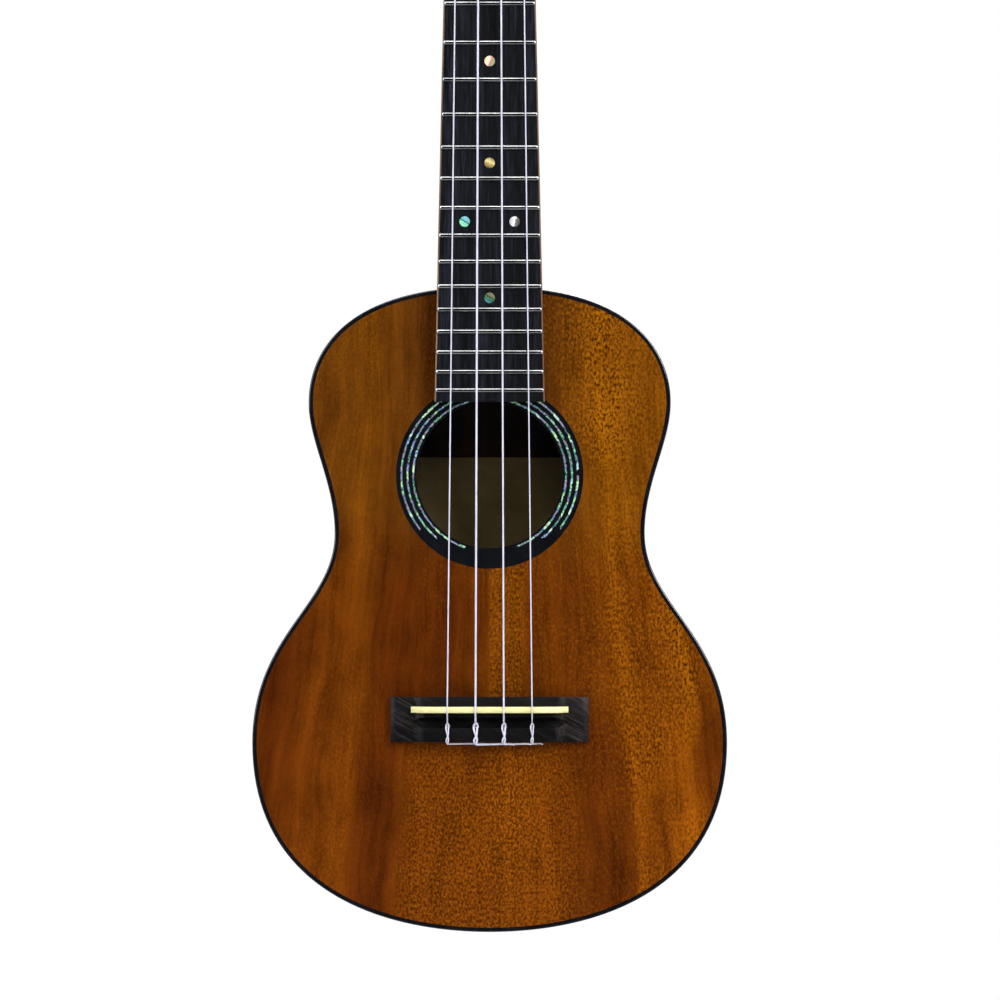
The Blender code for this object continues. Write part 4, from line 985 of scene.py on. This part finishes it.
def add_saddle():
    half, centre, low, crest, crown = SADDLE_HIGH.x, BRIDGE_CENTRE, 5.2 * MM, -SADDLE_LOW.y, 0.95 * MM
    stations = [(0.0, crest), (15 * MM, crest), (centre - 2 * MM, crest - HAIR)]
    falls = [i / 8 for i in range(9)]
    stations += [(centre + (half - centre) * t, crest - (crest - low) * t**1.15) for t in falls]
    rings = []
    for x, top in [(-x, top) for x, top in stations[:0:-1]] + stations:
        arc = [math.pi * i / 12 for i in range(13)]
        ring = [(-SADDLE_HALF * math.cos(a), crown - top - crown * math.sin(a)) for a in arc]
        ring += [(SADDLE_HALF, -1.6 * MM), (-SADDLE_HALF, -1.6 * MM)]
        rings.append([(x, y, SADDLE_Z + z) for z, y in ring])
    show("bone_saddle", loft(rings), "bone", replaces="saddle", sharp=40)


# ---- tuning machines ----


def gear_outline(depth, hand):
    twist = -hand * WORM_LEAD / math.tau * (depth - SHAFT_DEPTH) / WORM_RADIUS / GEAR_RADIUS
    root, tip, pitch = GEAR_RADIUS - DEDENDUM, GEAR_RADIUS + ADDENDUM, math.tau / GEAR_TEETH
    form = [(root, -0.3), (root + 0.35 * MM, -0.26), (tip - 0.25 * MM, -0.15), (tip, -0.09)]
    form += [(radius, -share) for radius, share in form[::-1]]
    points = []
    for tooth in range(GEAR_TEETH):
        middle = -math.pi / 2 + twist + (tooth + 0.5) * pitch
        for radius, share in form:
            angle = middle + share * pitch
            points.append((radius * math.cos(angle), radius * math.sin(angle)))
    return points


def add_post(name, hand, seat):
    body = f"{name}_winder"
    levels = [(0.965, GEAR_FRONT), (1.0, GEAR_FRONT + 0.3 * MM), (1.0, GEAR_REAR - 0.3 * MM)]
    levels.append((0.965, GEAR_REAR))
    gear = loft([[(x * grow, y, z * grow) for x, z in gear_outline(y, hand)] for grow, y in levels])
    show(f"{name}_gear", gear, "brass", body, matrix=seat)
    full, foot, rear = POST_RADIUS / MM, PLATE_BACK / MM, GEAR_REAR - 0.05 * MM
    profile = [(1.9, -14), (2.45, -13.88), (2.8, -13.5), (full, -13), (full, -11.7), (2.8, -11.3)]
    waist = [(2.5 + 0.35 * (1 - math.sin(math.pi * i / 12)) ** 2, -11 + 6.6 * i / 12) for i in range(13)]
    profile += waist + [(full, -3.9), (full, foot + 0.3), (3.9, foot + 0.3), (4.1, foot + 0.5)]
    profile = turned(mm([*profile, (4.1, rear / MM)]), 48)
    post = show(f"{name}_string_post", profile, "nickel", body, replaces=f"{name}_post", matrix=seat)
    hole = turned([(0.7 * MM, -5 * MM), (0.7 * MM, 5 * MM)], 24, "X")
    cut(post, hole, seat @ Matrix.Translation((0, -10.7 * MM, 0)))
    add_screw(f"{name}_gear_screw", seat @ Matrix.Translation((0, rear, 0)), POST_RADIUS, 0.6 * MM, body)


def add_screw(name, place, radius, height, body):
    """A slotted round-head screw standing on a face that looks along +Y."""
    arc = [math.radians(a) for a in (0, 15, 30, 45, 60, 75, 86)]
    profile = [(radius, 0)] + [(radius * math.cos(a), height * (0.25 + 0.75 * math.sin(a))) for a in arc]
    item = show(name, turned(profile, 32), "nickel", body, matrix=place)
    reach, wide = radius * 1.2, radius * 0.16
    slot = box((-reach, height * 0.45, -wide), (reach, height * 2, wide))
    cut(item, slot, place @ Matrix.Rotation(0.7, 4, "Y"))


def add_worm(name, hand, axle):
    """The worm shaft, from its inner end to inside the button, with the thread in its middle."""
    start, thread_half, steps, per_lead = -6.9 * MM, 4.0 * MM, 28, 18
    root, tip, step = WORM_RADIUS - DEDENDUM, WORM_RADIUS + ADDENDUM, 0.05 * MM

    def thread_radius(x, angle):
        phase = (x / WORM_LEAD - hand * (angle / math.tau - 0.25) + 0.5) % 1.0
        share = smooth_step((0.29 - abs(phase - 0.5)) / 0.16)
        fade = min(1.0, max(0.0, (thread_half - abs(x)) / (0.6 * MM)))
        return root + (tip - root) * share * fade

    rings = [hoop(1.2 * MM, hand * start, steps, "X")]
    rings += [hoop(SHAFT_RADIUS, hand * x, steps, "X") for x in (start + 0.3 * MM, -thread_half - step)]
    for k in range(int(2 * thread_half / WORM_LEAD * per_lead) + 1):
        x = hand * (-thread_half + k * WORM_LEAD / per_lead)
        thread = [(thread_radius(x, a), a) for a in (math.tau * i / steps for i in range(steps))]
        rings.append([(x, radius * math.cos(a), radius * math.sin(a)) for radius, a in thread])
    last = abs(rings[-1][0][0])
    rings += [hoop(SHAFT_RADIUS, hand * x, steps, "X") for x in (last + step, BUTTON_START + 9 * MM)]
    shaft = f"{name}_worm_shaft"
    show(shaft, loft(rings), "nickel", f"{name}_key", replaces=f"{name}_worm", matrix=axle, sharp=45)


def add_button(name, hand, axle):
    """An oval pearl button: a collar that swells into a flattened egg with a soft ridge round its rim."""
    length, widest, flatness = 14.8, 9.0, 0.46
    profile = [(0.0, 2.3), (0.25, 2.6), (1.0, 3.1), (2.2, 4.4), (3.4, 6.1), (4.8, 7.6), (6.4, 8.6)]
    profile += [(8.2, widest), (10.0, 8.85), (11.6, 8.1), (13.0, 6.7), (14.0, 4.8), (14.6, 2.8)]
    profile.append((length, 1.0))
    rings = []
    for along, radius, _ in smooth_line([(along, radius, 0) for along, radius in profile], 3):
        x = hand * (BUTTON_START + min(along, length) * MM)
        radius = min(radius, widest)
        flat = radius * flatness
        thick = min(radius, max(2.6, flat) if along < 10 else flat)
        thick += (flat - thick) * smooth_step((along - 8) / 4)
        rings.append([(x, a * thick * MM, b * radius * MM) for a, b in circle(1.0, 40)])
    body = f"{name}_key"
    show(f"{name}_pearl_button", loft(rings), "pearl", body, replaces=f"{name}_button", matrix=axle, sharp=60)
    collar = mm([(1.75, -0.5), (2.4, -0.5), (2.6, -0.3), (2.6, 0.1), (1.75, 0.1)])
    collar = turned([(radius, hand * (BUTTON_START + x)) for radius, x in collar], 32, "X", joined=True)
    show(f"{name}_button_collar", collar, "nickel", body, matrix=axle)


def add_housing(name, hand, seat):
    """Base plate with screws, two ears that carry the worm, and the bushing on the headstock's face."""
    low, high = -SHAFT_BELOW_POST - 6 * MM, 8 * MM
    left, right = sorted((-8.5 * hand * MM, 10 * hand * MM))
    base, soft = [], 3 * MM
    corners = [(left, low, MM, 180), (right, low, MM, 270), (right, high, soft, 0), (left, high, soft, 90)]
    for x, z, r, first in corners:
        middle = (x + (r if x == left else -r), z + (r if z == low else -r))
        turn = [math.radians(first + 90 * i / 8) for i in range(9)]
        base += [(middle[0] + r * math.cos(a), middle[1] + r * math.sin(a)) for a in turn]
    base = plate(base, [circle(3.05 * MM, 40)], HEAD_THICKNESS + 0.05 * MM, PLATE_BACK)
    show(f"{name}_base_plate", base, "nickel", replaces=f"{name}_housing", bevel=0.25 * MM, matrix=seat)
    wide, foot = 3.2 * MM, PLATE_BACK - 0.3 * MM
    arch = [(-wide, foot), (wide, foot)] + circle(wide - 0.1 * MM, 40, (0, SHAFT_DEPTH))[:21]
    bore = circle(1.65 * MM, 32, (0, SHAFT_DEPTH))
    for ear, place in (("inner", -5.65 * MM), ("outer", 5.65 * MM)):
        turn = Matrix(((0, 1, 0, hand * place), (0, 0, 1, 0), (1, 0, 0, -SHAFT_BELOW_POST), (0, 0, 0, 1)))
        bm = plate(arch, [bore], -0.7 * MM, 0.7 * MM)
        show(f"{name}_ear_{ear}", bm, "nickel", bevel=0.2 * MM, matrix=seat @ turn)
    sleeve = [(3.05, 12), (4.0, 12), (4.0, -1.85), (5.4, -1.85), (5.35, -2.3), (5.0, -2.75), (4.5, -3.0)]
    sleeve = turned(mm([*sleeve, (3.35, -3.0), (3.05, -2.75)]), 48, joined=True)
    show(f"{name}_bushing", sleeve, "nickel", matrix=seat)
    screws = [(-6 * MM, 5.4 * MM), (8 * MM, 5.4 * MM), (-6.3 * MM, low + 2.6 * MM)]
    for number, (x, z) in enumerate(screws, 1):
        place = seat @ Matrix.Translation((hand * x, PLATE_BACK - HAIR, z))
        add_screw(f"{name}_screw_{number}", place, 1.6 * MM, 0.9 * MM, BODY)


def add_tuners():
    for number, (x, z) in enumerate(POST_PLACES, 1):
        name, hand = f"tuner_{number}", 1 if x > 0 else -1
        seat = TO_HEAD @ Matrix.Translation((x, 0, z))
        axle = seat @ Matrix.Translation((0, SHAFT_DEPTH, -SHAFT_BELOW_POST))
        add_housing(name, hand, seat)
        add_post(name, hand, seat)
        add_worm(name, hand, axle)
        add_button(name, hand, axle)


# ---- strings ----


def tube(points, radius, steps=14):
    """A round tube along the points, without twist, closed at both ends."""
    rings, side = [], None
    for i, point in enumerate(points):
        ahead = (points[min(i + 1, len(points) - 1)] - points[max(i - 1, 0)]).normalized()
        side = side or ahead.orthogonal()
        side = (side - ahead * side.dot(ahead)).normalized()
        up = ahead.cross(side)
        taper = 0.7 if i in (0, len(points) - 1) else 1.0
        rings.append([point + side * a + up * b for a, b in circle(radius * taper, steps)])
    return loft(rings)


def coil_on_post(x_post, z_post, radius):
    """The string's turns round its post, from the free end to where it leaves for the nut."""
    hand = 1 if x_post > 0 else -1
    reach, pitch, turns, steps = POST_RADIUS + radius + 0.12 * MM, 2 * radius + 0.1 * MM, 2.75, 36
    route = []
    for i in range(int(turns * steps), -1, -1):
        angle = math.tau * i / steps
        x, z = x_post - hand * reach * math.cos(angle), z_post + reach * math.sin(angle)
        route.append(TO_HEAD @ Vector((x, -5.0 * MM - pitch * i / steps, z)))
    return route


def knot_at_bridge(radius, tail, crest):
    """The string behind the saddle's crest, x from its own line: through the block, over it and tied."""
    side, lip = 2 * radius + 0.1 * MM, CHANNEL[1]
    rear, top = BRIDGE_LOW.z - radius - 0.1 * MM, BRIDGE_LOW.y - radius - 0.05 * MM
    return [
        # down to the tie hole, out behind, and over the tie block to the front
        (0, crest + 0.5 * MM, SADDLE_Z - 1.3 * MM),
        (0, TIE_HOLE - 0.9 * MM, lip + 1.6 * MM),
        (0, TIE_HOLE, lip - 0.6 * MM),
        (0, TIE_HOLE, BRIDGE_LOW.z + 0.8 * MM),
        (0, TIE_HOLE - 0.7 * MM, rear),
        (-0.3 * side, top + 1.6 * MM, rear),
        (-0.6 * side, top, BRIDGE_LOW.z + MM),
        (0.5 * side, top - 0.4 * side, lip - 3.4 * MM),
        (0.7 * side, top, lip - 0.5 * MM),
        # the eye round the string, then back over the block, crossing itself
        (1.0 * side, top + 1.3 * MM, lip + 0.5 * MM),
        (0.5 * side, top + 2.3 * MM, lip + 1.9 * MM),
        (-0.7 * side, top + 1.3 * MM, lip + 1.1 * MM),
        (-0.8 * side, top, lip - 0.5 * MM),
        (-0.2 * side, top - 0.05 * side, lip - 2.6 * MM),
        (0.6 * side, top, lip - 5.0 * MM),
        (0.5 * side, top + 0.2 * MM, rear + 0.7 * MM),
        (0.3 * side, top + 1.0 * MM, rear - 0.35 * side),
        # the tail runs along the rear edge
        (1.6 * side, top + 1.9 * MM, rear - 0.5 * side),
        (0.5 * tail, top + 2.2 * MM, rear - 0.35 * side),
        (0.8 * tail, top + 2.0 * MM, rear - 0.2 * MM),
        (tail, top + 1.6 * MM, rear - 0.5 * MM),
    ]


def add_strings():
    rows = zip(STRING_DIAMETERS, STRING_ENDS, POST_PLACES, TAIL_LENGTHS)
    for number, (diameter, (x_nut, x_saddle), post, tail) in enumerate(rows, 1):
        radius = diameter / 2
        coil = coil_on_post(*post, radius)
        rest = Vector((x_nut, STRING_AT_NUT + 0.3 * MM, NUT_LENGTH))
        lead = smooth_line([coil[-1], coil[-1].lerp(rest, 0.4), coil[-1].lerp(rest, 0.8), rest], 5)
        nut_edge = Vector((x_nut, STRING_AT_NUT, 0))
        crest = SADDLE_LOW.y - radius - HAIR
        saddle = Vector((x_saddle, crest, SADDLE_Z - 0.3 * MM))
        straight = [nut_edge.lerp(saddle, share) for share in (0.0, 0.1, 0.3, 0.6, 0.9, 0.97)]
        knot = [Vector((x_saddle + x, y, z)) for x, y, z in knot_at_bridge(radius, tail, crest)]
        strand = tube(coil + lead[1:] + straight + smooth_line([saddle, *knot], 8), radius)
        show(f"string_{number}_strand", strand, "nylon", replaces=f"string_{number}", sharp=70)


# ---- the set ----


def use_looks_on_frame_nodes():
    """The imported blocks, braces and patch keep their shapes and get the finished woods."""
    inner = {"neck_block": "mahogany", "tail_block": "mahogany", "bridge_patch": "spruce"}
    braces = ("upper_brace", "lower_brace", "fan_brace_bass", "fan_brace_centre", "fan_brace_treble")
    inner.update({node: "spruce" for node in braces})
    for node, look in inner.items():
        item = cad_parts[node]
        item.data.materials.clear()
        item.data.materials.append(LOOKS[look][0])


def add_floor():
    """A plain pale floor below the instrument."""
    paint = mottled("floor_paint", (4.0, 0.6, 0.0, 30.0), FLOOR, (0.75, 0.9))
    bm = bmesh.new()
    bm.faces.new([bm.verts.new((x, y, FLOOR_Z)) for x, y in circle(1.3, 128)])
    floor = show("floor", bm, (paint, None), body=None)
    floor.visible_glossy = False


def add_light(name, place, size, power, tint, mirrored):
    lamp = bpy.data.lights.new(name, "AREA")
    lamp.shape, lamp.size, lamp.size_y = "RECTANGLE", *size
    lamp.energy, lamp.color = power, tint
    item = bpy.data.objects.new(name, lamp)
    item.location = place
    item.rotation_euler = (Vector(TARGET) - Vector(place)).to_track_quat("-Z", "Y").to_euler()
    item.visible_glossy = mirrored
    bpy.context.scene.collection.objects.link(item)


def set_world():
    """White behind the object; a soft room that is bright at the sides and dim to the front and back."""
    world = bpy.data.worlds.new("studio")
    bpy.context.scene.world = world
    world.use_nodes = True
    nodes = Nodes(world.node_tree)
    _, y, _ = nodes.split(nodes.node("ShaderNodeTexCoord", "Generated"))
    level = nodes.remap(abs(y), 0.35, 0.85, ROOM_LIGHT, DIM_LIGHT)
    room = nodes.node("ShaderNodeBackground", 0, {"Color": (*COOL, 1), "Strength": level})
    seen = nodes.node("ShaderNodeBackground", 0, {"Color": (*WHITE, 1)})
    ray = nodes.node("ShaderNodeLightPath", "Is Camera Ray")
    mixed = nodes.node("ShaderNodeMixShader", 0, {0: ray, 1: room, 2: seen})
    nodes.feed(world.node_tree.nodes["World Output"].inputs["Surface"], mixed)
    bpy.context.scene.view_settings.view_transform = "Standard"


def add_camera():
    """Straight on from the front; the neck runs out of the top of the frame."""
    camera = bpy.data.cameras.new("camera")
    camera.lens = camera.sensor_width * VIEW_DISTANCE / VIEW_WIDTH
    camera.clip_end = 20
    item = bpy.data.objects.new("camera", camera)
    item.location = (VIEW_CENTRE[0], -VIEW_DISTANCE, VIEW_CENTRE[1])
    item.rotation_euler = (math.pi / 2, 0, 0)
    bpy.context.scene.collection.objects.link(item)
    bpy.context.scene.camera = item


add_plates()
add_bindings()
add_sides()
add_rosette()
add_inside()
add_neck()
add_fingerboard()
add_frets()
add_nut()
add_bridge()
add_saddle()
add_tuners()
add_strings()
use_looks_on_frame_nodes()
add_floor()
set_world()
for light in LIGHTS:
    add_light(*light)
add_camera()
